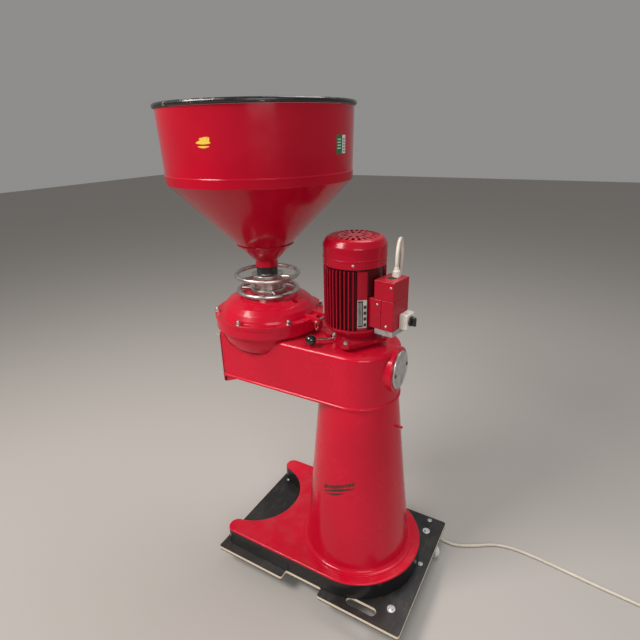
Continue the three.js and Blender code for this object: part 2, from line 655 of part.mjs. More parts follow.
function switchKnob() {
  const face = BOX_BACK + SWITCH.depth + GAP;
  const [x, z] = [(SWITCH.x0 + SWITCH.x1) / 2, (SWITCH.z0 + SWITCH.z1) / 2];
  const dial = cylinder(14, face, face + 5, 24).rotate([-90, 0, 0]).translate([x, 0, z]);
  return dial.add(block(x - 4, x + 4, face + 4, face + 16, z - 13, z + 13));
}
put(motor, 'switch_knob', switchKnob(), BLACK);

const GLAND = { x: -17, y: 122, top: 1036 };
put(motor, 'cable_gland', cylinder(11, BOX_TOP + GAP, 1020, 6)
  .add(cylinder(9.5, 1018, GLAND.top, 20)).translate([GLAND.x, GLAND.y, 0]), WHITE);

// ---------------------------------------------------------------- mains lead
// From the gland over the far side of the arm, down the column, over foot and board, along the floor.
const LEAD_RADIUS = 4.75;
const COIL_RADIUS = 52;         // middle of the coil's turns, two wide and two high
const COIL_X = -217.8;
const COIL_Y = 1000;
const COIL_OUTER = COIL_RADIUS + 2 * LEAD_RADIUS + 0.2;
const COIL_INNER = COIL_RADIUS - 2 * LEAD_RADIUS - 0.2;
const COIL_HEIGHT = 4 * LEAD_RADIUS + 0.3;
const LEAD_END_Y = COIL_Y - 34;
const FLOOR_LEAD = LEAD_RADIUS + 0.6 - BOARD_TOP;
const LEAD_ROUTE = [
  [2.3, 107, 1036.3], [2.3, 107, 1052], [-4, 105.6, 1076], [-21, 101.7, 1093.6], [-44.5, 96.4, 1100],
  [-68, 91.2, 1093.6], [-85, 87.3, 1076], [-91.3, 85.9, 1052], [-92.5, 84, 1015], [-98, 76, 945],
  [-111, 64, 870], [-126, 53, 795], [-132.5, 44, 710], [-133.5, 37, 600], [-145, 31, 420],
  [-164, 25.2, 220], [-171.5, 23, 155], [-175.2, 22, 119.6], [-184, 20.4, 95.3], [-204, 17, 78.7],
  [-215.5, 15, 73.3], [-227, 13, 67.8], [-247, 9.6, 51.2], [-255.8, 8, 26.9], [-256, 8, -20.7],
  [-256, 12.5, -46.9], [-256, 28.5, -66], [-256, 47.7, -73.9], [-256, 66, FLOOR_LEAD],
  [-255, 100, FLOOR_LEAD], [-250, 155, FLOOR_LEAD], [-242.5, 208, FLOOR_LEAD], [-231, 250, FLOOR_LEAD],
  [-233, 296, FLOOR_LEAD], [-265, 362, FLOOR_LEAD], [-301, 420, FLOOR_LEAD], [-315, 472, FLOOR_LEAD],
  [-316, 545, FLOOR_LEAD], [-290, 780, FLOOR_LEAD], [-274.5, LEAD_END_Y, FLOOR_LEAD],
].map((point) => new THREE.Vector3(...point));

function mainsLead() {
  const section = new THREE.Shape();
  const sides = 8;
  for (let i = 0; i < sides; i += 1) {
    const angle = (2 * Math.PI * i) / sides;
    const [x, y] = [LEAD_RADIUS * Math.cos(angle), LEAD_RADIUS * Math.sin(angle)];
    if (i === 0) section.moveTo(x, y);
    else section.lineTo(x, y);
  }
  section.closePath();
  const extrudePath = new THREE.CatmullRomCurve3(LEAD_ROUTE, false, 'centripetal');
  return solid(new THREE.ExtrudeGeometry(section, { steps: 78, bevelEnabled: false, extrudePath }));
}
put(frame, 'mains_lead', mainsLead(), WHITE);

put(frame, 'lead_coil', ring(COIL_OUTER, COIL_INNER, GAP, GAP + COIL_HEIGHT)
  .translate([COIL_X, COIL_Y, -BOARD_TOP]), WHITE);

// Round two-pin plug at the coil's far side, lying on the floor.
function mainsPlug() {
  const body = turned([[0, 0], [6, 0], [7, 20], [16, 26], [18.5, 34], [18.5, 54], [0, 54]], 20);
  const pins = bar([-9.5, 0, 53], [-9.5, 0, 73], 2.4, 8).add(bar([9.5, 0, 53], [9.5, 0, 73], 2.4, 8));
  return body.add(pins).rotate([0, 90, 0])
    .translate([COIL_X + 36, COIL_Y + COIL_RADIUS + LEAD_RADIUS, 18.8 - BOARD_TOP]);
}
put(frame, 'mains_plug', mainsPlug(), WHITE);

export default mill;
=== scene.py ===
"""Belt-driven disc mill in red enamel on a castor board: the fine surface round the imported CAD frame.

Shapes are drawn in millimetres in the frame of one axis (column, head, motor, castor) and then placed;
z = 0 of the column, head and motor axes is the board's upper face.
"""
import json
import math

import bmesh
import bpy
from mathutils import Matrix, Vector


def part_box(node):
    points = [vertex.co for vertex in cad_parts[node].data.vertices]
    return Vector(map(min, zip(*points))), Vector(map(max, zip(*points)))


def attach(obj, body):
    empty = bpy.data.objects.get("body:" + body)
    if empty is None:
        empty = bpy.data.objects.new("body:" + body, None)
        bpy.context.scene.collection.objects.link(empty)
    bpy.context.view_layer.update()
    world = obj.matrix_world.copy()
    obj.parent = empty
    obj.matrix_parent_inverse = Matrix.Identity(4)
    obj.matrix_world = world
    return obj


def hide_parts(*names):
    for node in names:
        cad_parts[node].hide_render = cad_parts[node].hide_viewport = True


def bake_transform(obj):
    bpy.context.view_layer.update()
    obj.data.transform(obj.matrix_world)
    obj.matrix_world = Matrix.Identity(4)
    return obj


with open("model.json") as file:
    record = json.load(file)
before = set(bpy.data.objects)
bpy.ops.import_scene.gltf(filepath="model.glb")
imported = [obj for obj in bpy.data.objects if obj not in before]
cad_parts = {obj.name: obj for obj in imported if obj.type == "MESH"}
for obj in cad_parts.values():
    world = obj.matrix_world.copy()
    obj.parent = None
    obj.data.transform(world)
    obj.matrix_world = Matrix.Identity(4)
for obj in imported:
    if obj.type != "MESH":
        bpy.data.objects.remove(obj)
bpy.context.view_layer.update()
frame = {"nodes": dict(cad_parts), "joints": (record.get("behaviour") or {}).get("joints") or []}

# ---------------------------------------------------------------- places, from the frame
MM = Matrix.Scale(0.001, 4)


def middle(node):
    low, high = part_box(node)
    return (low + high) * 500


BOARD_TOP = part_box("board")[1].z * 1000
COLUMN_AXIS = middle("column")
HEAD_AXIS = middle("feed_tube")
MOTOR_AXIS = middle("motor_rotor")
MOTOR_TURN = math.radians(-9)
REAR_COVER_Z = 735             # height of the rear cover's centre over the board
COLUMN = Matrix.Translation((COLUMN_AXIS.x, COLUMN_AXIS.y, BOARD_TOP))
HEAD = Matrix.Translation((HEAD_AXIS.x, HEAD_AXIS.y, BOARD_TOP))
MOTOR = Matrix.Translation((MOTOR_AXIS.x, MOTOR_AXIS.y, BOARD_TOP)) @ Matrix.Rotation(MOTOR_TURN, 4, "Z")


# ---------------------------------------------------------------- camera
CAMERA_PLACE = Vector((1129.1, 529.7, 1373.0))      # in the column's frame

def camera():
    azimuth, pitch, roll = math.radians(120.377), math.radians(22.15), math.radians(-1.38)
    forward = Vector((-math.sin(azimuth) * math.cos(pitch), math.cos(azimuth) * math.cos(pitch),
                      -math.sin(pitch)))
    level = forward.cross(Vector((0, 0, 1))).normalized()
    upright = level.cross(forward)
    right = math.cos(roll) * level + math.sin(roll) * upright
    up = math.cos(roll) * upright - math.sin(roll) * level
    data = bpy.data.cameras.new("camera")
    data.lens, data.sensor_width = 26.2, 36
    data.clip_start, data.clip_end = 0.05, 60
    seen = bpy.data.objects.new("camera", data)
    seen.matrix_world = Matrix((right, up, -forward)).transposed().to_4x4()
    seen.location = (COLUMN @ CAMERA_PLACE) * 0.001
    bpy.context.scene.collection.objects.link(seen)
    bpy.context.scene.camera = seen


camera()


# ---------------------------------------------------------------- drafts: closed meshes in millimetres
def draft(vertices, faces):
    mesh = bpy.data.meshes.new("draft")
    mesh.from_pydata([tuple(v) for v in vertices], [], faces)
    work = bmesh.new()
    work.from_mesh(mesh)
    bmesh.ops.recalc_face_normals(work, faces=work.faces)
    work.to_mesh(mesh)
    work.free()
    made = bpy.data.objects.new("draft", mesh)
    bpy.context.scene.collection.objects.link(made)
    return made


def discard(made):
    mesh = made.data
    bpy.data.objects.remove(made)
    bpy.data.meshes.remove(mesh)


def settled(made):
    """Applies the draft's modifiers."""
    graph = bpy.context.evaluated_depsgraph_get()
    mesh = bpy.data.meshes.new_from_object(made.evaluated_get(graph))
    made.modifiers.clear()
    made.data = mesh
    return made


def cut(made, *tools, operation="DIFFERENCE"):
    for tool in tools:
        change = made.modifiers.new("cut", "BOOLEAN")
        change.operation, change.solver, change.object = operation, "EXACT", tool
        settled(made)
        discard(tool)
    return made


def softened(made, width, segments=3, angle=30):
    """Rounds every edge sharper than the angle."""
    change = made.modifiers.new("edge", "BEVEL")
    change.width, change.segments = width, segments
    change.limit_method, change.angle_limit = "ANGLE", math.radians(angle)
    change.use_clamp_overlap = True
    return settled(made)


def moved(made, *steps):
    for step in steps:
        made.data.transform(step)
    return made


def joined(*drafts):
    work = bmesh.new()
    for each in drafts:
        work.from_mesh(each.data)
    keep = drafts[0]
    work.to_mesh(keep.data)
    work.free()
    for each in drafts[1:]:
        discard(each)
    return keep


def shift(x=0, y=0, z=0):
    return Matrix.Translation((x, y, z))


def turn(degrees, axis="Z"):
    return Matrix.Rotation(math.radians(degrees), 4, axis)


ALONG_Y = turn(-90, "X")     # lays a piece drawn along +Z along +Y
ALONG_X = turn(90, "Y")


def arc(x, y, radius, start, stop, steps):
    angles = [math.radians(start + (stop - start) * i / steps) for i in range(steps + 1)]
    return [(x + radius * math.cos(a), y + radius * math.sin(a)) for a in angles]


def filleted(points, steps=5):
    """A closed outline whose points (x, y, radius) are rounded; a point (x, y) stays sharp."""
    outline = []
    for i, point in enumerate(points):
        here = Vector(point[:2])
        if len(point) < 3:
            outline.append(tuple(here))
            continue
        before = (Vector(points[i - 1][:2]) - here).normalized()
        after = (Vector(points[(i + 1) % len(points)][:2]) - here).normalized()
        half = before.angle(after) / 2
        setback = point[2] / math.tan(half)
        centre = here + (before + after).normalized() * point[2] / math.sin(half)
        first, last = here + before * setback - centre, here + after * setback - centre
        start = math.atan2(first.y, first.x)
        sweep = (math.atan2(last.y, last.x) - start + math.pi) % (2 * math.pi) - math.pi
        outline += [(centre.x + point[2] * math.cos(start + sweep * k / steps),
                     centre.y + point[2] * math.sin(start + sweep * k / steps))
                    for k in range(steps + 1)]
    return outline


def turned(profile, segments=96):
    """A closed (radius, z) profile turned about Z; points on the axis become one vertex."""
    vertices, rows = [], []
    for radius, z in profile:
        if radius < 1e-6:
            rows.append([len(vertices)] * segments)
            vertices.append((0, 0, z))
            continue
        rows.append(range(len(vertices), len(vertices) + segments))
        for i in range(segments):
            angle = 2 * math.pi * i / segments
            vertices.append((radius * math.cos(angle), radius * math.sin(angle), z))
    faces = []
    for low, high in zip(rows, [*rows[1:], rows[0]]):
        for i in range(segments):
            j = (i + 1) % segments
            face = list(dict.fromkeys([low[i], low[j], high[j], high[i]]))
            if len(face) > 2:
                faces.append(face)
    return draft(vertices, faces)


def lathe(points, segments=96, steps=5):
    return turned(filleted(points, steps), segments)


def stack(outline, levels):
    """A closed solid through outline(inset) at each (inset, z) level."""
    vertices, faces = [], []
    for inset, z in levels:
        vertices += [(x, y, z) for x, y in outline(inset)]
    count = len(vertices) // len(levels)
    for level in range(len(levels) - 1):
        for i in range(count):
            a, b = level * count + i, level * count + (i + 1) % count
            faces.append([a, b, b + count, a + count])
    faces += [list(range(count)), list(range(count * (len(levels) - 1), count * len(levels)))]
    return draft(vertices, faces)


def prism(points, z0, z1):
    return stack(lambda inset: points, [(0, z0), (0, z1)])


def slab(points, x0, x1):
    """An outline of (y, z) points drawn out along X."""
    return moved(prism(points, x0, x1), Matrix(((0, 0, 1, 0), (1, 0, 0, 0), (0, 1, 0, 0), (0, 0, 0, 1))))


def block(x0, x1, y0, y1, z0, z1, edge=0.0):
    made = prism([(x0, y0), (x1, y0), (x1, y1), (x0, y1)], z0, z1)
    return softened(made, edge) if edge else made


def rod(start, end, radius, segments=24, edge=0.0):
    """A round bar between two points, with chamfered rims."""
    start, end = Vector(start), Vector(end)
    along = end - start
    profile = [(0, 0), (radius - edge, 0), (radius, edge), (radius, along.length - edge),
               (radius - edge, along.length), (0, along.length)]
    if not edge:
        profile = [(0, 0), (radius, 0), (radius, along.length), (0, along.length)]
    made = turned(profile, segments)
    return moved(made, along.to_track_quat("Z", "Y").to_matrix().to_4x4(), Matrix.Translation(start))


def ball(radius, centre, steps=24):
    profile = [(radius * math.sin(math.pi * i / steps), -radius * math.cos(math.pi * i / steps))
               for i in range(steps + 1)]
    profile[0], profile[-1] = (0, -radius), (0, radius)
    return moved(turned(profile, 2 * steps), Matrix.Translation(centre))


def hoop(radius, tube, z, segments=128, sides=20):
    return turned([(radius + x, z + y) for x, y in arc(0, 0, tube, 0, 360 * (1 - 1 / sides), sides - 1)],
                  segments)


def nut(across, z0, z1, chamfer=0.8):
    """A hexagon with turned chamfers; across is its corner radius."""
    hexagon = prism(arc(0, 0, across, 0, 300, 5), z0, z1)
    blank = turned([(0, z0), (across - chamfer, z0), (across + 0.1, z0 + chamfer),
                    (across + 0.1, z1 - chamfer), (across - chamfer, z1), (0, z1)], 48)
    return cut(hexagon, blank, operation="INTERSECT")


def washer(outer, z0, z1, inner=0.0):
    edge = min(0.4, (z1 - z0) / 3)
    if inner:
        return turned([(inner, z0), (outer, z0), (outer, z1 - edge), (outer - edge, z1), (inner, z1)], 48)
    return turned([(0, z0), (outer, z0), (outer, z1 - edge), (outer - edge, z1), (0, z1)], 48)


def slotted_screw(radius, height, slot=1.2):
    """A domed screw head on z = 0, slotted along X."""
    dome = [(radius * math.cos(a), height * math.sin(a)) for a in
            [math.pi / 2 * i / 6 for i in range(6)]]
    head = turned([(0, 0), *dome, (0, height)], 32)
    return cut(head, block(-radius - 1, radius + 1, -slot / 2, slot / 2, height * 0.5, height + 1))


def spline(points, per_span=8):
    """Centripetal Catmull-Rom curve through the points."""
    points = [Vector(p) for p in points]
    ends = [points[0] * 2 - points[1], *points, points[-1] * 2 - points[-2]]
    line = []
    for p0, p1, p2, p3 in zip(ends, ends[1:], ends[2:], ends[3:]):
        t1 = (p1 - p0).length ** 0.5
        t2 = t1 + (p2 - p1).length ** 0.5
        t3 = t2 + (p3 - p2).length ** 0.5
        for k in range(per_span):
            t = t1 + (t2 - t1) * k / per_span
            a = p0.lerp(p1, t / t1)
            b = p1.lerp(p2, (t - t1) / (t2 - t1))
            c = p2.lerp(p3, (t - t2) / (t3 - t2))
            line.append(a.lerp(b, t / t2).lerp(b.lerp(c, (t - t1) / (t3 - t1)), (t - t1) / (t2 - t1)))
    return [*line, points[-1]]


def swept(line, radius, sides=16):
    """A closed round tube along a line of points."""
    line = [Vector(p) for p in line]
    vertices, faces = [], []
    side = (line[1] - line[0]).orthogonal().normalized()
    for i, point in enumerate(line):
        along = (line[min(i + 1, len(line) - 1)] - line[max(i - 1, 0)]).normalized()
        side = (side - along * side.dot(along)).normalized()
        other = along.cross(side)
        for k in range(sides):
            angle = 2 * math.pi * k / sides
            vertices.append(point + radius * (math.cos(angle) * side + math.sin(angle) * other))
    for i in range(len(line) - 1):
        for k in range(sides):
            a, b = i * sides + k, i * sides + (k + 1) % sides
            faces.append([a, b, b + sides, a + sides])
    faces += [list(range(sides)), list(range(sides * (len(line) - 1), sides * len(line)))]
    return draft(vertices, faces)


def piece(name, made, place, body, surface, slot, *nodes, smooth=35):
    """Places a draft and makes it a named piece of the object, in place of the CAD nodes named."""
    moved(made, MM @ place)
    made.name = made.data.name = name
    made.data.materials.clear()
    made.data.materials.append(surface)
    made.data.shade_smooth()
    made.data.set_sharp_from_angle(angle=math.radians(smooth))
    flatten = made.modifiers.new("flatten", "WEIGHTED_NORMAL")
    flatten.keep_sharp, flatten.weight = True, 80
    settled(made)
    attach(made, body)
    if nodes:
        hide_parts(*nodes)
    return made


# ---------------------------------------------------------------- materials
class Surface:
    """A node material being built: each method adds nodes and gives back an output."""

    def __init__(self, name):
        self.material = bpy.data.materials.new(name)
        self.material.use_nodes = True
        self.tree = self.material.node_tree
        self.shader = self.tree.nodes["Principled BSDF"]
        self.where = self.add("TexCoord").outputs["Object"]

    def add(self, kind, **settings):
        node = self.tree.nodes.new("ShaderNode" + kind)
        for key, value in settings.items():
            setattr(node, key, value)
        return node

    def feed(self, socket, value):
        if isinstance(value, bpy.types.NodeSocket):
            self.tree.links.new(value, socket)
        elif socket.type == "RGBA" and len(value) == 3:
            socket.default_value = (*value, 1)
        else:
            socket.default_value = value

    def stretched(self, scale, centre=(0, 0, 0), rotation=(0, 0, 0)):
        """Object coordinates in metres, measured from the centre and scaled."""
        near = self.add("Mapping")
        near.inputs["Location"].default_value = [-x for x in centre]
        far = self.add("Mapping")
        far.inputs["Rotation"].default_value = rotation
        far.inputs["Scale"].default_value = scale
        self.tree.links.new(self.where, near.inputs["Vector"])
        self.tree.links.new(near.outputs["Vector"], far.inputs["Vector"])
        return far.outputs["Vector"]

    def noise(self, scale, detail=3.0, rough=0.5, at=None):
        node = self.add("TexNoise")
        self.feed(node.inputs["Vector"], at or self.where)
        self.feed(node.inputs["Scale"], scale)
        self.feed(node.inputs["Detail"], detail)
        self.feed(node.inputs["Roughness"], rough)
        return node.outputs["Fac"]

    def ranged(self, value, low, high, start=0.0, stop=1.0):
        node = self.add("MapRange", interpolation_type="SMOOTHSTEP")
        for socket, number in (("Value", value), ("From Min", low), ("From Max", high),
                               ("To Min", start), ("To Max", stop)):
            self.feed(node.inputs[socket], number)
        return node.outputs["Result"]

    def maths(self, operation, a, b=0.0):
        node = self.add("Math", operation=operation)
        self.feed(node.inputs[0], a)
        self.feed(node.inputs[1], b)
        return node.outputs["Value"]

    def mixed(self, factor, a, b):
        node = self.add("Mix", data_type="RGBA")
        self.feed(node.inputs["Factor"], factor)
        self.feed(node.inputs[6], a)
        self.feed(node.inputs[7], b)
        return node.outputs[2]

    def part(self, axis, vector=None):
        node = self.add("SeparateXYZ")
        self.feed(node.inputs["Vector"], vector or self.where)
        return node.outputs[axis]

    def upward(self):
        return self.part("Z", self.add("NewGeometry").outputs["Normal"])

    def bump(self, height, strength, distance, under=None):
        node = self.add("Bump")
        self.feed(node.inputs["Height"], height)
        self.feed(node.inputs["Strength"], strength)
        self.feed(node.inputs["Distance"], distance)
        if under:
            self.feed(node.inputs["Normal"], under)
        return node.outputs["Normal"]

    def finish(self, **sockets):
        for key, value in sockets.items():
            self.feed(self.shader.inputs[key.replace("_", " ")], value)
        return self.material


def shade(colour, factor):
    return tuple(min(1.0, c * factor) for c in colour)


def enamel(name, colour, peel=0.06, dust=0.12, chips=0.76, gloss=0.22, side_colour=None, side_z=0.0,
           shaded_gaps_about=None):
    """Sprayed gloss enamel: orange peel, slow tone drift, dust on upward faces and small chips.

    Below side_z it takes side_colour; round the motor axis that is given, the gaps between fins are painted
    dark as shade, darkest at the fin roots.
    """
    s = Surface(name)
    drift = s.ranged(s.noise(4.5, 4), 0.3, 0.7)
    fine = s.noise(160, 2)
    tone = s.mixed(drift, shade(colour, 0.9), shade(colour, 1.08))
    if side_colour:
        wander = s.maths("MULTIPLY", s.noise(25, 3), 0.003)
        below = s.ranged(s.maths("ADD", s.part("Z"), wander), side_z + 0.0008, side_z + 0.0022)
        tone = s.mixed(below, side_colour, tone)
    # painted shade: the enamel darkens from the fin tips down to the roots, as shade between the fins
    if shaded_gaps_about:
        radial = s.add("VectorMath", operation="LENGTH")
        s.feed(radial.inputs[0], s.stretched((1, 1, 0), centre=shaded_gaps_about))
        root, tip = 0.077, 0.0872
        fin_gap_shade = s.ranged(radial.outputs["Value"], root, tip, 0.12, 1.0)
        tone = s.mixed(fin_gap_shade, (0.012, 0.004, 0.004), tone)
    spots = s.ranged(s.noise(75, 5, 0.62), chips, chips + 0.015)
    pale = s.ranged(s.noise(130, 4, 0.6), chips + 0.01, chips + 0.02)
    tone = s.mixed(s.maths("MULTIPLY", spots, 0.8), tone, shade(colour, 0.28))
    tone = s.mixed(s.maths("MULTIPLY", pale, 0.75), tone, (0.55, 0.42, 0.36))
    resting = s.ranged(s.upward(), 0.55, 1.0)
    patchy = s.ranged(s.noise(14, 5, 0.6), 0.35, 0.75)
    film = s.maths("MULTIPLY", s.maths("MULTIPLY", resting, patchy), dust)
    tone = s.mixed(film, tone, (0.34, 0.16, 0.13))
    rough = s.ranged(s.noise(9, 5, 0.6), 0.3, 0.75, gloss * 0.8, gloss * 1.5)
    rough = s.maths("ADD", rough, s.maths("MULTIPLY", film, 0.8))
    wavy = s.bump(s.noise(20, 1), 0.10, 0.003)
    skin = s.bump(fine, peel, 0.0012, wavy)
    skin = s.bump(s.maths("SUBTRACT", 1.0, spots), 0.35, 0.0004, skin)
    return s.finish(Base_Color=tone, Roughness=rough, Normal=skin, Coat_Weight=0.2,
                    Coat_Roughness=0.07, Coat_Normal=skin, Specular_IOR_Level=0.2)


def film_ply(name):
    """Phenolic film on both faces, pale veneers in the upper part of the cut edges, painted dark below as
    shade.
    """
    s = Surface(name)
    height = s.part("Z")
    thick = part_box("board")[1].z
    grain = s.noise(30, 4, 0.6, at=s.stretched((1.5, 40, 4)))
    veneer = s.mixed(s.ranged(grain, 0.3, 0.7), (0.74, 0.62, 0.44), (0.90, 0.82, 0.64))
    ply_waves = 3300.0         # radians per metre: a dark veneer every 1.9 mm
    layers = s.maths("SINE", s.maths("MULTIPLY", height, ply_waves))
    veneer = s.mixed(s.ranged(layers, 0.2, 0.9, 0.0, 0.45), veneer, (0.30, 0.19, 0.10))
    # painted shade: the lower part of the cut edges is dark, as shade under the board's edge
    shaded_low_part = s.ranged(height, thick - 0.0112, thick - 0.0096)
    edge = s.mixed(shaded_low_part, (0.035, 0.028, 0.022), veneer)
    scuff = s.ranged(s.noise(22, 8, 0.68, at=s.stretched((1, 3.5, 1), rotation=(0, 0, 0.5))), 0.5, 0.78)
    film = s.mixed(scuff, (0.012, 0.011, 0.011), (0.060, 0.045, 0.038))
    dust = s.ranged(s.noise(5, 6, 0.65), 0.45, 0.85, 0.0, 0.35)
    film = s.mixed(dust, film, (0.15, 0.115, 0.095))
    flat = s.ranged(s.maths("ABSOLUTE", s.upward()), 0.80, 0.92)
    wander = s.maths("ADD", flat, s.maths("MULTIPLY", s.maths("SUBTRACT", s.noise(90, 3), 0.5), 0.5))
    tone = s.mixed(s.ranged(wander, 0.4, 0.6), edge, film)
    rough = s.ranged(s.noise(12, 6, 0.65), 0.3, 0.7, 0.24, 0.46)
    pressed = s.bump(s.noise(420, 2), 0.16, 0.0006)
    return s.finish(Base_Color=tone, Roughness=rough, Normal=s.bump(grain, 0.2, 0.0008, pressed),
                    Specular_IOR_Level=0.5)


def bright_steel(name, axis=None, lie=(1, 1, 0), tint=(0.62, 0.58, 0.54), rough=0.24, stain=0.3):
    """Turned steel: fine rings round the axis if one is given, with stains and handling marks."""
    s = Surface(name)
    if axis:
        radial = s.add("VectorMath", operation="LENGTH")
        s.feed(radial.inputs[0], s.stretched(lie, centre=axis))
        along = s.add("CombineXYZ")
        s.feed(along.inputs["X"], radial.outputs["Value"])
        s.feed(along.inputs["Y"], s.part("Z"))
        grooves = s.noise(1500, 3, 0.6, at=along.outputs["Vector"])
    else:
        grooves = s.noise(700, 3, 0.6)
    clouds = s.ranged(s.noise(38, 6, 0.65), 0.42, 0.72)
    tone = s.mixed(clouds, tint, shade(tint, 0.62))
    spots = s.ranged(s.noise(160, 5, 0.7), 0.64, 0.72)
    tone = s.mixed(s.maths("MULTIPLY", spots, stain), tone, (0.20, 0.12, 0.08))
    dull = s.ranged(s.noise(60, 6, 0.65), 0.3, 0.75, rough, rough + 0.24)
    return s.finish(Base_Color=tone, Metallic=1.0, Roughness=dull,
                    Normal=s.bump(grooves, 0.22, 0.0003))


def cast(name, tint):
    """Machined cast iron with a sandy skin."""
    rough, spread = 0.6, 0.15
    s = Surface(name)
    sand = s.noise(260, 5, 0.65)
    tone = s.mixed(s.ranged(s.noise(18, 6, 0.65), 0.35, 0.7), shade(tint, 0.65), shade(tint, 1.25))
    return s.finish(Base_Color=tone, Metallic=0.55,
                    Roughness=s.ranged(sand, 0.2, 0.8, rough - spread, rough + spread),
                    Normal=s.bump(sand, 0.5, 0.0008))

def moulded(name, tint, rough=0.4, grime=0.3, grain=0.15, dirt=(0.16, 0.12, 0.09), coat=0.0):
    """Moulded plastic or rubber: fine grain, handling shine and grime."""
    s = Surface(name)
    tone = s.mixed(s.ranged(s.noise(11, 5, 0.6), 0.3, 0.75), tint, shade(tint, 0.86))
    soiled = s.maths("MULTIPLY", s.ranged(s.noise(55, 6, 0.7), 0.5, 0.8), grime)
    tone = s.mixed(soiled, tone, dirt)
    dull = s.ranged(s.noise(30, 5, 0.6), 0.3, 0.7, rough * 0.8, rough * 1.25)
    return s.finish(Base_Color=tone, Roughness=dull, Normal=s.bump(s.noise(900, 2), grain, 0.0003),
                    Coat_Weight=coat, Coat_Roughness=0.05)


def worn_black(name):
    """Black enamel on the hopper's rolled rim, rubbed through to pale metal at places."""
    s = Surface(name)
    rub = s.noise(16, 7, 0.7, at=s.stretched((1, 1, 3)))
    worn = s.ranged(rub, 0.60, 0.66)
    bare = s.mixed(s.ranged(s.noise(60, 4), 0.4, 0.6), (0.34, 0.27, 0.22), (0.58, 0.52, 0.46))
    tone = s.mixed(s.maths("MULTIPLY", worn, 0.75), (0.010, 0.009, 0.009), bare)
    rough = s.ranged(s.noise(40, 5), 0.3, 0.7, 0.2, 0.42)
    return s.finish(Base_Color=tone, Roughness=rough, Coat_Weight=0.3, Coat_Roughness=0.1,
                    Normal=s.bump(s.noise(180, 3), 0.2, 0.0008))


RED = (0.55, 0.0030, 0.024)
DEEP_RED = (0.42, 0.0025, 0.017)
FOOT_BLACK = (0.014, 0.013, 0.013)
FOOT_SIDE_Z = BOARD_TOP * 0.001 + 0.0605
HEAD_POINT = tuple(HEAD_AXIS * 0.001)
COVER_POINT = (COLUMN_AXIS.x * 0.001, 0.0, (BOARD_TOP + REAR_COVER_Z) * 0.001)

red_cast = enamel("red_cast_enamel", RED, peel=0.09)
red_column = enamel("red_column_enamel", RED, peel=0.05, dust=0.05)
red_foot = enamel("red_foot_enamel", RED, peel=0.08, dust=0.14, side_colour=FOOT_BLACK, side_z=FOOT_SIDE_Z)
red_sheet = enamel("red_sheet_enamel", DEEP_RED, peel=0.03, dust=0.05, gloss=0.16, chips=0.78)
red_motor = enamel("red_motor_enamel", shade(RED, 0.72), peel=0.10, dust=0.22, chips=0.73, gloss=0.26)
# the fin enamel carries painted shade in the gaps between the fins
red_fins = enamel("red_fin_enamel", shade(RED, 0.62), peel=0.10, dust=0.1, chips=0.73, gloss=0.28,
                  shaded_gaps_about=tuple(MOTOR_AXIS * 0.001))
red_boxes = enamel("red_box_enamel", shade(RED, 0.62), peel=0.06, dust=0.18, chips=0.73)
board_film = film_ply("film_faced_plywood")
wheel_steel = bright_steel("turned_handwheel_steel", HEAD_POINT)
steel = bright_steel("bright_steel")
zinc = bright_steel("zinc_plated_steel", tint=(0.66, 0.66, 0.66), rough=0.34, stain=0.5)
cover_aluminium = bright_steel("turned_aluminium", COVER_POINT, lie=(1, 0, 1), tint=(0.74, 0.73, 0.72),
                               rough=0.3, stain=0.15)
plate_aluminium = bright_steel("nameplate_aluminium", tint=(0.72, 0.69, 0.64), rough=0.36)
iron = cast("machined_cast_iron", (0.16, 0.16, 0.165))
rubber = moulded("black_rubber", (0.018, 0.018, 0.018), rough=0.75, grain=0.35, dirt=(0.09, 0.08, 0.07))
black_moulding = moulded("black_moulding", (0.016, 0.016, 0.016), rough=0.38, dirt=(0.07, 0.06, 0.05))
bakelite = moulded("bakelite_ball", (0.008, 0.007, 0.007), rough=0.16, grime=0.08, grain=0.03, coat=0.7)
knurled = moulded("knurled_collar", (0.02, 0.019, 0.018), rough=0.45, grime=0.5, dirt=(0.10, 0.085, 0.07))
ivory = moulded("ivory_moulding", (0.78, 0.73, 0.64), rough=0.42, grime=0.3)
nylon = moulded("white_nylon", (0.74, 0.73, 0.70), rough=0.5, grime=0.5)
sheath = moulded("pvc_sheath", (0.70, 0.64, 0.53), rough=0.44, grime=0.4, grain=0.06,
                 dirt=(0.27, 0.22, 0.17))
rim_enamel = worn_black("worn_black_enamel")
gold_print = moulded("gold_print", (0.80, 0.52, 0.06), rough=0.35, grime=0.5, dirt=(0.35, 0.16, 0.04))
dark_print = moulded("dark_print", (0.045, 0.018, 0.012), rough=0.4, grime=0.5, dirt=(0.30, 0.16, 0.05))
green_print = moulded("green_print", (0.012, 0.16, 0.045), rough=0.35, grime=0.2)
white_print = moulded("white_print", (0.72, 0.72, 0.68), rough=0.35, grime=0.25)
black_print = moulded("black_print", (0.02, 0.02, 0.02), rough=0.4, grime=0.3)


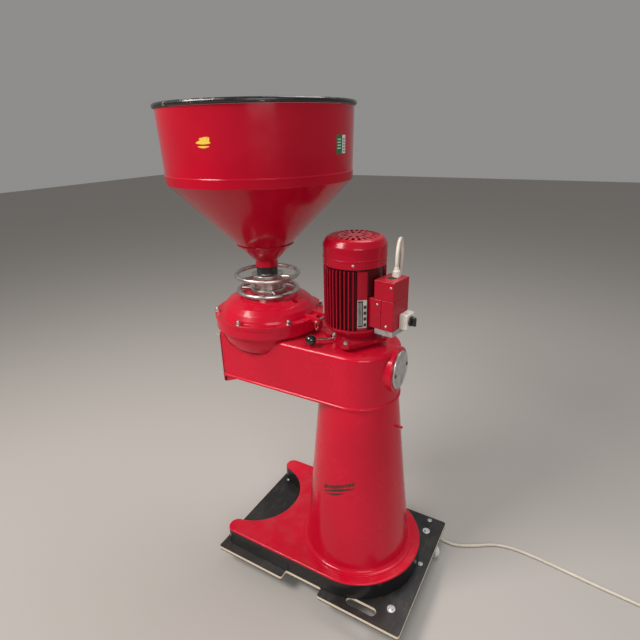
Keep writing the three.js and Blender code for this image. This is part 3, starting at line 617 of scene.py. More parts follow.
# ---------------------------------------------------------------- mains lead
# Its route from the gland over the far side of the arm, down the column and over foot and board to the
# floor; in millimetres from the column axis and the board's upper face, as in the CAD source.
LEAD_RADIUS = 4.75
FLOOR_LEAD = LEAD_RADIUS + 0.6 - BOARD_TOP
LEAD_ROUTE = [
    (2.3, 107, 1036.3), (2.3, 107, 1052), (-4, 105.6, 1076), (-21, 101.7, 1093.6), (-44.5, 96.4, 1100),
    (-68, 91.2, 1093.6), (-85, 87.3, 1076), (-91.3, 85.9, 1052), (-92.5, 84, 1015), (-98, 76, 945),
    (-111, 64, 870), (-126, 53, 795), (-132.5, 44, 710), (-133.5, 37, 600), (-145, 31, 420),
    (-164, 25.2, 220), (-171.5, 23, 155), (-175.2, 22, 119.6), (-184, 20.4, 95.3), (-204, 17, 78.7),
    (-215.5, 15, 73.3), (-227, 13, 67.8), (-247, 9.6, 51.2), (-255.8, 8, 26.9), (-256, 8, -20.7),
    (-256, 12.5, -46.9), (-256, 28.5, -66), (-256, 47.7, -73.9), (-256, 66, FLOOR_LEAD),
    (-255, 100, FLOOR_LEAD), (-250, 155, FLOOR_LEAD), (-242.5, 208, FLOOR_LEAD), (-231, 250, FLOOR_LEAD),
    (-233, 296, FLOOR_LEAD), (-265, 362, FLOOR_LEAD), (-301, 420, FLOOR_LEAD), (-315, 472, FLOOR_LEAD),
    (-316, 545, FLOOR_LEAD), (-290, 780, FLOOR_LEAD), (-274.5, 966, FLOOR_LEAD),
]
COIL_X, COIL_Y = -217.8, 1000.0
COIL_TURNS = 4.25
COIL_OUTER, COIL_INNER = 56.75, 47.25
PLUG_X = COIL_X + 36
PLUG_Z = 18.8 - BOARD_TOP


def eased(value, start, stop):
    t = min(1.0, max(0.0, (value - start) / (stop - start)))
    return t * t * (3 - 2 * t)


def coil_line():
    """Clockwise turns seen from above: out and in below, then in and out above, ending towards +X."""
    line, steps = [], 40
    for i in range(1, int(COIL_TURNS * steps) + 1):
        turns = i / steps
        inward = eased(turns, 0.85, 1.1) - eased(turns, 2.95, 3.2)
        radius = COIL_OUTER - (COIL_OUTER - COIL_INNER) * inward
        height = FLOOR_LEAD + (2 * LEAD_RADIUS + 0.1) * eased(turns, 1.85, 2.1)
        angle = math.pi - 2 * math.pi * turns
        line.append(Vector((COIL_X + radius * math.cos(angle), COIL_Y + radius * math.sin(angle), height)))
    return line


def mains_lead():
    coil = coil_line()
    entry = [Vector((COIL_X - COIL_OUTER, COIL_Y, FLOOR_LEAD))]
    last = coil[-1]
    into_plug = [last.lerp(Vector((PLUG_X + 1, last.y, PLUG_Z)), k / 6) for k in range(1, 7)]
    for k, point in enumerate(into_plug, 1):
        point.z = last.z + (PLUG_Z - last.z) * eased(k / 6, 0, 1)
    line = spline([*LEAD_ROUTE, *entry]) + coil + into_plug
    place = MM @ COLUMN
    path = [place @ point for point in line]
    tube = swept(line, LEAD_RADIUS)
    moved(tube, place)
    tube.name = tube.data.name = "mains_lead_tube"
    tube.data.materials.append(sheath)
    tube.data.shade_smooth()
    return tube, path


def mains_plug():
    """Round two-pin plug lying on the floor, with a ribbed grip and a tapered strain relief."""
    body = lathe([(0, 0), (5.6, 0, 0.6), (6.6, 17, 1.5), (9, 22, 2), (15.5, 26, 2.5), (18.4, 34, 4),
                  (18.4, 52, 1.6), (0, 54)], 64)
    ribs = [hoop(17.6 + 0.3 * k, 1.0, 32 + 4 * k, 48, 10) for k in range(3)]
    pins = [joined(rod((x, 0, 53), (x, 0, 62), 2.35, 20), rod((x, 0, 61), (x, 0, 73), 2.2, 20, 0.9))
            for x in (-9.5, 9.5)]
    place = COLUMN @ shift(PLUG_X, COIL_Y + COIL_OUTER, PLUG_Z) @ ALONG_X
    shell = piece("plug_body", joined(body, *ribs), place, "frame", ivory, "ivory_plastic", "mains_plug")
    contacts = piece("plug_pins", joined(*pins), place, "frame", steel, "steel")
    return shell, contacts


lead, lead_path = mains_lead()
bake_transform(lead)
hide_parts("mains_lead", "lead_coil")
plug_pieces = mains_plug()


# ---------------------------------------------------------------- board, bolts and castors
BOARD_LOW, BOARD_HIGH = (COLUMN.inverted() @ (corner * 1000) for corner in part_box("board"))


def board():
    x, front, rear, thick = BOARD_HIGH.x, BOARD_LOW.y, BOARD_HIGH.y, -BOARD_LOW.z
    bay, front_end, rear_end = 30, -163, -27
    outline = filleted([(-x, front, 8), (x, front, 8), (x, front_end, 6), (x - bay, front_end, 5),
                        (x - bay, rear_end, 5), (x, rear_end, 6), (x, rear, 8), (-x, rear, 8)])
    reach, radius, slot_x, slot_y = 36, 14, 209, 112.5
    hand = (arc(slot_x, slot_y + reach, radius, 0, 180, 16)
            + arc(slot_x, slot_y - reach, radius, 180, 360, 16))
    sheet = cut(prism(outline, -thick, 0), prism(hand, -thick - 1, 1))
    piece("board_panel", softened(sheet, 0.9, 2), COLUMN, "frame", board_film, "black_ply", "board")


board()


def bolt_head():
    """Low hexagon bolt on a broad washer, standing on z = 0."""
    return joined(washer(13, 0, 1.8, 4), nut(7.4, 1.8, 6.4), washer(5.2, 6.3, 6.9))


castors = {joint["name"].removeprefix("swivel_"): Vector(joint["pos_m"]) * 1000
           for joint in frame["joints"] if joint["name"].startswith("swivel_")}
axles = {joint["name"].removeprefix("roll_"): (Vector(joint["pos_m"]) * 1000, Vector(joint["axis"]))
         for joint in frame["joints"] if joint["name"].startswith("roll_")}
for number, at in enumerate(castors.values()):
    spot = shift(at.x, at.y, BOARD_TOP + 0.1) @ turn(17 + 40 * number)
    piece(f"castor_bolt_{number + 1}", bolt_head(), spot, "frame", zinc, "zinc")

BOARD_SCREWS = [(-27, 224.5), (-227, 194), (-160, -399)]
for number, (x, y) in enumerate(BOARD_SCREWS):
    screw = joined(washer(8, 0, 1.4), moved(slotted_screw(5.2, 3.4), shift(z=1.4)))
    spot = COLUMN @ shift(x, y, 0.1) @ turn(40 * number)
    piece(f"board_screw_{number + 1}", screw, spot, "frame", zinc, "zinc")


def castor_fork(wheel):
    """Pressed fork under a ball-race plate; drawn with the trail along +Y and the axle at wheel."""
    trail, axle_z = wheel
    plate = lathe([(0, -15.4), (21, -15.4, 0.6), (21, -17.6, 0.6), (16.5, -17.8, 0.6), (18, -21.4, 1.2),
                   (14, -21.8, 0.8), (0, -21.8)], 64)
    cheeks = []
    for side in (-1, 1):
        outline = filleted([(-14, -19), (14, -19), (trail + 8, axle_z - 3, 7), (trail + 3, axle_z - 8, 5),
                            (trail - 8, axle_z - 6, 5), (-6, -30, 8)])
        cheeks.append(softened(slab(outline, 15 * side - 1.4, 15 * side + 1.4), 0.5, 2))
    axle = rod((-18.4, trail, axle_z), (18.4, trail, axle_z), 3.2, 20, 0.6)
    heads = [moved(nut(5.6, 16.5, 19.4, 0.5), ALONG_X, shift(0, trail, axle_z)),
             moved(nut(5.6, -19.4, -16.5, 0.5), ALONG_X, shift(0, trail, axle_z))]
    return joined(plate, *cheeks, axle, *heads)


def castor_wheel(half, radius):
    """Nylon wheel with a rounded tread, recessed sides and a raised hub, drawn about Z."""
    side = [(4.4, half, 0.5), (8.5, half, 0.8), (9.5, half - 3, 1), (radius - 7, half - 3, 1.5),
            (radius - 5, half - 0.5, 1.2), (radius, half - 3.5, 4)]
    mirrored = [(r, -z, *rest) for r, z, *rest in reversed(side)]
    return lathe([*side, *mirrored], 64)


for name, at in castors.items():
    axle, along = axles[name]
    trail = math.hypot(axle.x - at.x, axle.y - at.y)
    turned_to = math.degrees(math.atan2(axle.y - at.y, axle.x - at.x)) - 90
    place = shift(at.x, at.y, BOARD_TOP) @ turn(turned_to)
    piece(f"fork_{name}", castor_fork((trail, axle.z - BOARD_TOP)), place, f"castor_{name}", zinc, "zinc",
          f"castor_fork_{name}")
    wheel_place = Matrix.Translation(axle) @ along.to_track_quat("Z", "Y").to_matrix().to_4x4()
    piece(f"wheel_{name}", castor_wheel(12, 27), wheel_place, f"wheel_{name}", nylon, "pale_plastic",
          f"castor_wheel_{name}")


# ---------------------------------------------------------------- foot and column
FOOT_HEIGHT, FOOT_RADIUS = 66, 215


def foot_outline(inset):
    """Round rear end, straight flanks, two rounded horns and a round bay between them."""
    tip_x, tip_y, bay_y, bay = 185.5, -388, -427, 160
    tip = FOOT_RADIUS - tip_x - inset
    lean = math.degrees(math.atan2(tip_y - bay_y, tip_x))
    return (arc(0, 0, FOOT_RADIUS - inset, 0, 180, 72) + arc(-tip_x, tip_y, tip, 180, 360 - lean, 20)
            + arc(0, bay_y, bay + inset, 180 - lean, lean, 60) + arc(tip_x, tip_y, tip, 180 + lean, 360, 20))


def rim(radius, z, steps=6):
    """Levels of a quarter-round top edge that ends at z."""
    return [(radius * (1 - math.cos(a)), z - radius * (1 - math.sin(a)))
            for a in [math.pi / 2 * i / steps for i in range(steps + 1)]]


foot = stack(foot_outline, [(1.2, 0.3), (0, 1.5), *rim(5, FOOT_HEIGHT)])
piece("foot_casting", foot, COLUMN, "frame", red_foot, "red_enamel", "foot")

COLUMN_BASE, COLUMN_TOP = FOOT_HEIGHT + 0.3, 634.7
column = lathe([(190, COLUMN_BASE), (190, COLUMN_BASE + 2.6, 2.2), (174.3, COLUMN_BASE + 3.2, 14),
                (120.6, COLUMN_TOP), (114.6, COLUMN_TOP), (166, 88), (166, COLUMN_BASE)], 160, 8)
piece("column_cone", column, COLUMN, "frame", red_column, "red_enamel", "column")

peg = lathe([(0, 0), (3.5, 0), (3.3, 11.5, 0.4), (4.5, 12.4, 0.6), (4.5, 15, 0.9), (0, 15)], 40)
piece("column_hook_peg", peg, COLUMN @ shift(0, 129.8, 543) @ ALONG_Y, "frame", red_column, "red_enamel",
      "column_peg")


FILM_EDGE = 4.0                # longest mesh edge in a film
FILM_SUNK = 0.3                # how far a film reaches into the surface under it

def wrapped(outlines, radius_at, angle, z, lift=0.25):
    """Flat outlines (across, up) laid as thin film on a surface of revolution about Z."""
    films = []
    for outline in outlines:
        work = bmesh.new()
        work.faces.new([work.verts.new((x, y, 0)) for x, y in outline])
        bmesh.ops.triangulate(work, faces=work.faces)
        while long_edges := [edge for edge in work.edges if edge.calc_length() > FILM_EDGE]:
            bmesh.ops.subdivide_edges(work, edges=long_edges, cuts=1)
            bmesh.ops.triangulate(work, faces=work.faces)
        mesh = bpy.data.meshes.new("draft")
        work.to_mesh(mesh)
        work.free()
        flat = bpy.data.objects.new("draft", mesh)
        bpy.context.scene.collection.objects.link(flat)
        thick = flat.modifiers.new("film", "SOLIDIFY")
        thick.thickness, thick.offset = lift + FILM_SUNK, 0
        films.append(settled(flat))
    made = joined(*films)
    for vertex in made.data.vertices:
        across, up, out = vertex.co
        radius = radius_at(z + up)
        turned_by = math.radians(angle) + across / radius
        reach = radius + out + (lift - FILM_SUNK) / 2
        vertex.co = (reach * math.cos(turned_by), reach * math.sin(turned_by), z + up)
    made.data.update()
    return made


def wave(length, height, thick, tilt=0.0):
    """A tapered ribbon along half a sine wave, as a closed outline."""
    upper, lower, steps = [], [], 28
    for i in range(steps + 1):
        t = i / steps
        x = length * (t - 0.5)
        y = height * math.sin(math.pi * t) + tilt * x
        half = thick / 2 * (0.25 + math.sin(math.pi * t))
        upper.append((x, y + half))
        lower.append((x, y - half))
    return lower + upper[::-1]

def leaf(x, y, length, width, lean):
    """A pointed leaf about (x, y), leaning by degrees from the horizontal."""
    c, s = math.cos(math.radians(lean)), math.sin(math.radians(lean))
    there = [i / 10 for i in range(11)]
    back = [1 - i / 10 for i in range(1, 10)]
    points = [(length * (t - 0.5), width / 2 * math.sin(math.pi * t)) for t in there]
    points += [(length * (t - 0.5), -width / 2 * math.sin(math.pi * t)) for t in back]
    return [(x + c * u - s * v, y + s * u + c * v) for u, v in points]

def ornament(scale):
    """A row of leaning leaves over two ribbons: a plain ornament."""
    rise = 0.42
    leaves = [leaf(-50 + 11 * k, 9 + rise * (11 * k - 50), 27 if k in (0, 4) else 19, 7.5, 62 + 5 * (k % 2))
              for k in range(10)]
    ribbons = [wave(112, 3.0, 7, rise), wave(62, -3.0, 5, rise)]
    shapes = leaves + [[(x, y - 8) for x, y in ribbons[0]], [(x - 12, y - 22) for x, y in ribbons[1]]]
    return [[(x * scale, y * scale) for x, y in shape] for shape in shapes]


CONE_LOW, CONE_HIGH = (172.5, 88.3), (120.6, COLUMN_TOP)


def cone_radius(z):
    share = (z - CONE_LOW[1]) / (CONE_HIGH[1] - CONE_LOW[1])
    return CONE_LOW[0] + (CONE_HIGH[0] - CONE_LOW[0]) * share


piece("column_ornament", wrapped(ornament(0.95), lambda z: cone_radius(z) + 0.4, 1, 364), COLUMN, "frame",
      dark_print, "black_enamel")


# ---------------------------------------------------------------- arm (belt housing)
ARM_BOTTOM, ARM_TOP, ARM_HALF, ARM_FRONT = 635, 800, 122, -426
HEAD_Y = HEAD_AXIS.y - COLUMN_AXIS.y
MOTOR_Y = MOTOR_AXIS.y - COLUMN_AXIS.y
BOWL = [(46.4, 735, 1), (99, 735, 8), (122, 741, 10), (138, 753, 10), (149, 772, 10), (154, 790, 10),
        (155, 808)]


def arm_outline(inset):
    half = ARM_HALF - inset
    return [*arc(0, 0, half, 0, 180, 64), (-half, ARM_FRONT), (half, ARM_FRONT)]


def bowl_seat(offset=0.8):
    """The grinding bowl's outside, a little larger, as a cutter."""
    outside = [(r + offset, z - offset, *rest) for r, z, *rest in BOWL[1:]]
    return lathe([(0, BOWL[0][1] - offset), *outside, (BOWL[-1][0] + offset, 830), (0, 830)], 128)


def arm_housing():
    lip, lip_top, wall = 4, 643, 7
    shell = stack(arm_outline, [(1, ARM_BOTTOM), (-lip + 1, ARM_BOTTOM), (-lip, ARM_BOTTOM + 1),
                                (-lip, lip_top - 2.5), (-lip + 1.2, lip_top - 0.6), (-0.8, lip_top + 0.6),
                                (0, lip_top + 2.5), *rim(14, ARM_TOP, 8)])
    boss = moved(lathe([(0, 70), (66, 70), (66, 127, 4), (0, 127)], 96), ALONG_Y, shift(z=REAR_COVER_Z))
    cut(shell, boss, operation="UNION")
    inside = stack(lambda inset: [*arc(0, 0, ARM_HALF - wall, 0, 180, 48), (wall - ARM_HALF, ARM_FRONT - 1),
                                  (ARM_HALF - wall, ARM_FRONT - 1)], [(0, lip_top), (0, ARM_TOP - 8)])
    slide, slot_radius = 8, 34
    slot_ends = (arc(0, MOTOR_Y, slot_radius, 0, 180, 24)
                 + arc(0, MOTOR_Y - slide, slot_radius, 180, 360, 24))
    slot = prism(slot_ends, ARM_TOP - 10, ARM_TOP + 1)
    port = rod((0, 90, REAR_COVER_Z), (0, 130, REAR_COVER_Z), 46, 64)
    cut(shell, inside, block(-60, 60, ARM_FRONT - 1, -366, ARM_BOTTOM - 1, ARM_BOTTOM + 9), slot, port,
        moved(bowl_seat(), shift(y=HEAD_Y)))
    skirt = filleted([(-366, 636), (-425.6, 636), (-425.6, 613.4, 1), (-421, 613.4, 3)])
    skirts = [softened(slab(skirt, 115 * side - 3, 115 * side + 3), 0.8, 2) for side in (-1, 1)]
    pad = moved(lathe([(4, -2), (9, -2), (9, 1.4, 0.6), (4, 1.4, 0.4)], 40), shift(88, 48, ARM_TOP - 0.4))
    return joined(shell, *skirts, pad)


piece("arm_casting", arm_housing(), COLUMN, "frame", red_cast, "red_enamel", "arm_housing", smooth=28)


def front_plate():
    gasket_thick, plate_thick = 3.4, 2.9
    back = ARM_FRONT - gasket_thick
    outline = filleted([(-ARM_HALF, 613, 5), (ARM_HALF, 613, 5), (ARM_HALF, 790, 12), (-ARM_HALF, 790, 12)])
    lay = Matrix(((1, 0, 0, 0), (0, 0, -1, 0), (0, 1, 0, 0), (0, 0, 0, 1)))
    plate = softened(moved(prism(outline, -back, -back + plate_thick), lay), 0.8, 2)
    gasket = moved(prism([(x * 1.002, z) for x, z in outline], -ARM_FRONT - 0.2, -back), lay)
    for made, name, surface, slot, nodes in (
            (plate, "front_plate", red_cast, "red_enamel", ["arm_front_plate"]),
            (gasket, "front_gasket", rubber, "rubber", [])):
        cut(made, moved(bowl_seat(), shift(y=HEAD_Y)))
        piece(name, made, COLUMN, "frame", surface, slot, *nodes)
    studs = []
    for x in (-114, 114):
        for z in (637, 776):
            end = rod((0, 0, 2), (0, 0, 17.5), 2.9, 20, 0.7)
            stud = joined(washer(7.4, 0, 1.4, 3), nut(6.5, 1.4, 6.4, 0.6), end)
            studs.append(moved(stud, turn(90, "X"), shift(x, back - plate_thick, z)))
    piece("front_plate_nuts", joined(*studs), COLUMN, "frame", steel, "steel")


front_plate()

cover_disc = lathe([(0, 0), (56.2, 0, 0.5), (56.2, 4.4, 1.6), (50.5, 5.2, 0.6), (49.6, 4.2, 0.5),
                    (40.6, 4.2, 0.5), (39.8, 4.9, 0.4), (0, 4.9)], 128)
screw_seats = [moved(joined(washer(6.4, 4.0, 5.0), moved(slotted_screw(5.2, 3.2), shift(z=5.0))), shift(x))
               for x in (-45, 45)]
REAR_FACE = COLUMN @ shift(0, 127.4, REAR_COVER_Z) @ ALONG_Y
piece("rear_cover_disc", cover_disc, REAR_FACE, "frame", cover_aluminium, "aluminium", "rear_cover")
piece("rear_cover_screws", joined(*screw_seats), REAR_FACE, "frame", iron, "zinc")


# ---------------------------------------------------------------- grinding head, fixed pieces
HINGE_Y, HINGE_Z, PIN = 190, 845, 4
PIN_NECK_X = 28.4              # where the pull ring hangs

def pin_bore():
    return rod((-30, HINGE_Y, HINGE_Z), (30, HINGE_Y, HINGE_Z), PIN + 0.3, 32)


def chamber():
    inside = [(147, 838, 0.8), (146, 800, 12), (138, 771, 10), (121, 751, 10), (98, 743, 6), (46.4, 743)]
    bowl = lathe([*BOWL[:-1], (155.5, 808.6, 3), (170, 808.6, 2), (170, 838, 0.9), *inside], 144)
    lug = joined(block(-13, 13, 150, HINGE_Y - 2, 812, 836, 2.5),
                 block(-13, 13, HINGE_Y - 8, HINGE_Y + 7, 826, HINGE_Z, 2),
                 rod((-13, HINGE_Y, HINGE_Z), (13, HINGE_Y, HINGE_Z), 8, 40, 1))
    cut(lug, pin_bore())
    cut(bowl, block(-42, 42, -97, -68, 730, 770))
    return joined(bowl, lug)


piece("chamber_bowl", chamber(), HEAD, "frame", red_cast, "red_enamel", "grinding_chamber")


def hinge_pin():
    neck = PIN_NECK_X
    profile = [(0, -27), (3.2, -27), (4, -26.2), (4, neck - 2.4), (2, neck - 2.2), (2, neck + 2.2),
               (4, neck + 2.6), (4, neck + 3.8), (3.2, neck + 4.6), (0, neck + 4.6)]
    return moved(turned(profile, 32), ALONG_X, shift(0, HINGE_Y, HINGE_Z))


piece("hinge_pin_rod", hinge_pin(), HEAD, "frame", steel, "steel", "hinge_pin")


def pull_ring():
    """Long oval wire loop hanging on the pin's neck, with a small knob under it."""
    half, upper = 5.0, HINGE_Z + 2.3 - 4.2
    lower = upper - 15
    loop = [(0, y, z) for y, z in arc(0, upper, half, 0, 180, 14) + arc(0, lower, half, 180, 360, 14)]
    tube = swept([*loop, loop[0]], 0.95, 10)
    knob = lathe([(0, 0), (2.2, 0, 0.8), (3.3, 2.5, 1.2), (3.0, 5.4, 1), (1.4, 6.6, 0.4), (0, 6.8)], 32)
    moved(knob, shift(0, 0, lower - half - 5.6))
    return moved(joined(tube, knob), shift(PIN_NECK_X, HINGE_Y, 0))


piece("pull_ring_loop", pull_ring(), HEAD, "pull_ring", steel, "steel", "pull_ring")


# ---------------------------------------------------------------- head cover and its nuts
def head_cover():
    dome = lathe([(172, 838.3, 0.8), (172, 850.2, 1.6), (154, 850.6, 2.5), (151, 858, 3), (143, 871, 8),
                  (128, 886, 14), (104, 898, 16), (76, 904, 14), (46, 907, 3), (42, 907.5), (42, 955, 1),
                  (28, 955, 0.5), (28, 897), (90, 890, 8), (121, 877, 8), (146, 838.3)], 144, 6)
    ears = []
    for x in (-20, 22):
        outline = filleted([(138, 848), (143, 862, 6), (160, 860, 8), (178, 857.5, 6),
                            *arc(HINGE_Y, HINGE_Z, 10, 100, -110, 14),
                            (174, 841, 2), (165, 845)])
        ears.append(softened(slab(outline, x - 3.5, x + 3.5), 0.9, 2))
    strap = joined(*ears)
    cut(strap, pin_bore())
    cut(dome, rod((17, 109, 860), (17, 109, 930), 9, 40))
    return joined(dome, strap)


piece("cover_dome", head_cover(), HEAD, "cover", red_cast, "red_enamel", "head_cover")


def cap_nut():
    """Domed nut on a washer, on z = 0."""
    dome = [(0, 8.0), (5.0, 8.0)] + [(5.6 * math.cos(a), 9.6 + 5.2 * math.sin(a))
                                     for a in [math.pi / 2 * (i / 8) for i in range(8)]] + [(0, 14.8)]
    return joined(washer(7.8, 0, 1.4, 2), nut(6.6, 1.4, 8.4, 0.7), turned(dome, 36))


for number in range(1, 7):
    at = middle(f"cap_nut_{number}")
    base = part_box(f"cap_nut_{number}")[0].z * 1000
    spot = shift(at.x, at.y, base) @ turn(23 * number)
    piece(f"domed_nut_{number}", cap_nut(), spot, "cover", steel, "steel", f"cap_nut_{number}")


# ---------------------------------------------------------------- handwheels
RING_TUBE, NECK = 6.8, 42.3


def spokes(count, inner, outer, z, phase):
    """Slender bars between two radii, the first turned by phase in radians."""
    made, length = [], outer - inner
    for k in range(count):
        spoke = lathe([(0, 0), (6.4, 0), (5.0, 5, 2), (4.8, length - 6, 2), (6, length), (0, length)], 28)
        made.append(moved(spoke, ALONG_X, shift(inner, 0, z), turn(math.degrees(phase) + 360 / count * k)))
    return made


def lock_wheel():
    hub = lathe([(NECK, 908.2, 0.6), (52, 908.2, 1), (54.8, 910, 1), (54.8, 919.6, 1.2), (52.5, 921.5, 0.8),
                 (NECK, 921.5, 0.6)], 128)
    return joined(hub, hoop(91.8, RING_TUBE, 914.9), *spokes(3, 51, 88, 914.9, 0.9))


def adjusting_wheel():
    drum = lathe([(NECK, 922.1, 0.5), (46.3, 922.1, 1), (46.3, 952, 2), (49.8, 957, 1.5), (49.8, 965.4, 1.4),
                  (47.5, 966.4, 0.6), (34.5, 966.4, 0.5), (28.4, 965, 0.5), (28.4, 955.4),
                  (NECK, 955.4)], 128)
    return joined(drum, hoop(96.1, RING_TUBE, 964.2), *spokes(3, 46.5, 92.6, 960.6, -0.4))


piece("lock_handwheel", lock_wheel(), HEAD, "lock_wheel", wheel_steel, "steel", "lock_wheel")
piece("adjusting_handwheel", adjusting_wheel(), HEAD, "adjusting_wheel", wheel_steel, "steel",
      "adjusting_wheel")


def knurl(inner, outer, z0, z1, teeth=72):
    """A collar with straight knurling and a plain bore."""
    outline = []
    for k in range(teeth):
        for part, radius in ((0.0, outer - 0.9), (0.25, outer), (0.5, outer), (0.75, outer - 0.9)):
            angle = 2 * math.pi * (k + part) / teeth
            outline.append((radius * math.cos(angle), radius * math.sin(angle)))
    rim_scale, chamfer = 1 - 1 / outer, 1.2
    levels = [(rim_scale, z0), (1, z0 + chamfer), (1, z1 - chamfer), (rim_scale, z1)]
    made = stack(lambda s: [(x * s, y * s) for x, y in outline], levels)
    return cut(made, rod((0, 0, z0 - 1), (0, 0, z1 + 1), inner, 64))


piece("feed_pipe", lathe([(22, 811, 0.6), (27.5, 811, 0.6), (27.5, 1000, 0.8), (22, 1000, 0.8)], 96), HEAD,
      "feed", wheel_steel, "steel", "feed_tube")
piece("collar_knurled", knurl(27.8, 32, 967.5, 990), HEAD, "feed", knurled, "rubber", "feed_collar")


# ---------------------------------------------------------------- hopper
funnel = lathe([(34.3, 990.4, 0.8), (34.3, 1009, 4), (86.2, 1059.6, 0.5), (87.6, 1060.8, 0.4),
                (84.6, 1060.8, 0.4), (31.5, 1010, 3), (28.6, 1008), (28.6, 990.4)], 128)
piece("funnel_cone", funnel, HEAD, "hopper", red_sheet, "red_enamel", "hopper_funnel")

BAND_LOW, BAND_HIGH = (263.5, 1246.2), (268.2, 1432.8)
SEAM_Z = 1270.0


def band_radius(z):
    return BAND_LOW[0] + (BAND_HIGH[0] - BAND_LOW[0]) * (z - BAND_LOW[1]) / (BAND_HIGH[1] - BAND_LOW[1])


def hopper_shell():
    sheet = 2.4
    seam = band_radius(SEAM_Z)
    outside = [(83.7, 1061.4), (BAND_LOW[0] + 0.6, BAND_LOW[1], 3.5), (seam + 1.5, SEAM_Z - 1.2, 0.9),
               (seam, SEAM_Z + 1.0, 0.8), (BAND_HIGH[0], BAND_HIGH[1])]
    inside = [(BAND_HIGH[0] - sheet, BAND_HIGH[1]), (BAND_LOW[0] - sheet, BAND_LOW[1] + 1, 3),
              (80.3, 1061.4)]
    return lathe([*outside, *inside], 192, 6)


piece("hopper_cone_and_band", hopper_shell(), HEAD, "hopper", red_sheet, "red_enamel", "hopper_shell")
piece("hopper_rolled_rim", hoop(268.4, 6.5, 1439.6, 192, 20), HEAD, "hopper", rim_enamel, "black_enamel",
      "hopper_rim")

GOLD_AT, LABEL_AT = (8.1, 1352), (88.2, 1339)


def gold_mark():
    """Four fanned leaves over two ribbons."""
    crest = [leaf(-6 + 6 * k, 7 + 2.4 * math.sin(1.05 * k + 0.5), 15, 6, 20 + 25 * (k - 1))
             for k in range(4)]
    ribbons = [wave(40, 1.6, 8), [(x, y - 8) for x, y in wave(32, -1.2, 4)]]
    return [[(x + 3, y) for x, y in shape] for shape in crest] + ribbons


def band_film(z):
    """Radius on which a film lies on the hopper's band."""
    return band_radius(z) + 0.15


piece("gold_ornament", wrapped(gold_mark(), band_film, *GOLD_AT), HEAD, "hopper", gold_print, "red_enamel")


def rectangle(x0, x1, y0, y1):
    return [(x0, y0), (x1, y0), (x1, y1), (x0, y1)]


piece("label_green", wrapped([rectangle(-23, 4, -23, 23)], band_film, *LABEL_AT), HEAD, "hopper",
      green_print, "red_enamel")
label_bars = [rectangle(4.3, 21, -22, 22)] + [rectangle(-19, -3, 11 - 7 * k, 13.5 - 7 * k) for k in range(4)]
label_lines = [rectangle(7, 18, -17 + 7 * k, -14.5 + 7 * k) for k in range(5)]
piece("label_white", wrapped(label_bars, band_film, *LABEL_AT, lift=0.45), HEAD, "hopper", white_print,
      "red_enamel")
piece("label_lines", wrapped(label_lines, band_film, *LABEL_AT, lift=0.65), HEAD, "hopper", green_print,
      "red_enamel")


# ---------------------------------------------------------------- motor
STATOR_LOW, STATOR_HIGH, FIN, ROOT = 862, 1030, 87.4, 77
PAD = (39.0, 57.5)             # degrees: smooth pad for the rating plate
BARE = (60.0, 120.0)           # degrees: without fins, behind the terminal box
FIN_PITCH, FIN_COUNT = 8.0, 45
# Across one fin: angle in pitches and share of the fin's height.
FIN_PROFILE = [(-0.34, 0.0), (-0.17, 0.25), (-0.13, 0.92), (-0.07, 1.0),
               (0.07, 1.0), (0.13, 0.92), (0.17, 0.25), (0.34, 0.0)]


def stator_outline(inset):
    """Fins all round, except on the pad and on the bare stretch."""
    points = []
    for k in range(FIN_COUNT):
        for part, height in FIN_PROFILE:
            degrees = (k + part) * FIN_PITCH
            radius = ROOT + (FIN - ROOT - inset) * height
            if PAD[0] < degrees < PAD[1]:
                radius = 86 - inset
            if BARE[0] < degrees < BARE[1]:
                radius = ROOT + 1.5
            angle = math.radians(degrees)
            points.append((radius * math.cos(angle), radius * math.sin(angle)))
    return points


stator = stack(stator_outline, [(2.5, STATOR_LOW), (0, STATOR_LOW + 2.5),
                                (0, STATOR_HIGH - 2.5), (2.5, STATOR_HIGH)])
core = lathe([(42, STATOR_LOW), (42, 1041), (72, 1041), (76, 1038, 1), (76, STATOR_LOW)], 96)
piece("stator_fins", joined(stator, core), MOTOR, "motor", red_fins, "red_enamel", "motor_housing",
      smooth=30)

CLAMP_X, CLAMP_Y = 48, -56


def motor_flange():
    """Round-cornered square plate and end shield in one, cut back round the clamp's stud."""
    across, corner_radius, plate_turn = 75.7, 97, 64
    square = [(across, across), (-across, across), (-across, -across), (across, -across)]
    corners = rod((0, 0, 811), (0, 0, 825), corner_radius, 96)
    plate = cut(prism(square, 812, 824), corners, operation="INTERSECT")
    moved(plate, turn(plate_turn))
    shield = lathe([(13, 800.6), (60, 800.6, 1), (60, 812), (64, 831, 5), (80, 849, 6), (84, 856, 2),
                    (84, 861.7), (13, 861.7)], 96)
    cut(plate, shield, operation="UNION")
    clamp = (MOTOR.inverted() @ COLUMN) @ Vector((CLAMP_X, CLAMP_Y, 0))
    bay = prism([(-2, 0), (11, -13), (70, -60), (70, 60), (11, 13)], 795, 850)
    cut(bay, rod((0, 0, 795), (0, 0, 850), 13, 40), operation="UNION")
    cut(plate, moved(bay, turn(math.degrees(math.atan2(clamp.y, clamp.x))), shift(clamp.x, clamp.y)))
    return softened(plate, 1.1, 2, 40)


piece("motor_end_shield", motor_flange(), MOTOR, "motor", red_motor, "red_enamel", "motor_flange")
flange_bolts = []
for k in range(3):
    at = turn(19 + 90 * k) @ Vector((84, 0, 0))
    bolt = joined(washer(7.2, 0, 1.2, 2), nut(6.2, 1.2, 6.2, 0.6))
    flange_bolts.append(moved(bolt, shift(at.x, at.y, 824.1)))
piece("flange_bolts", joined(*flange_bolts), MOTOR, "motor", zinc, "zinc")

COWL, COWL_LOW, COWL_HIGH = 88, 1035.6, 1111


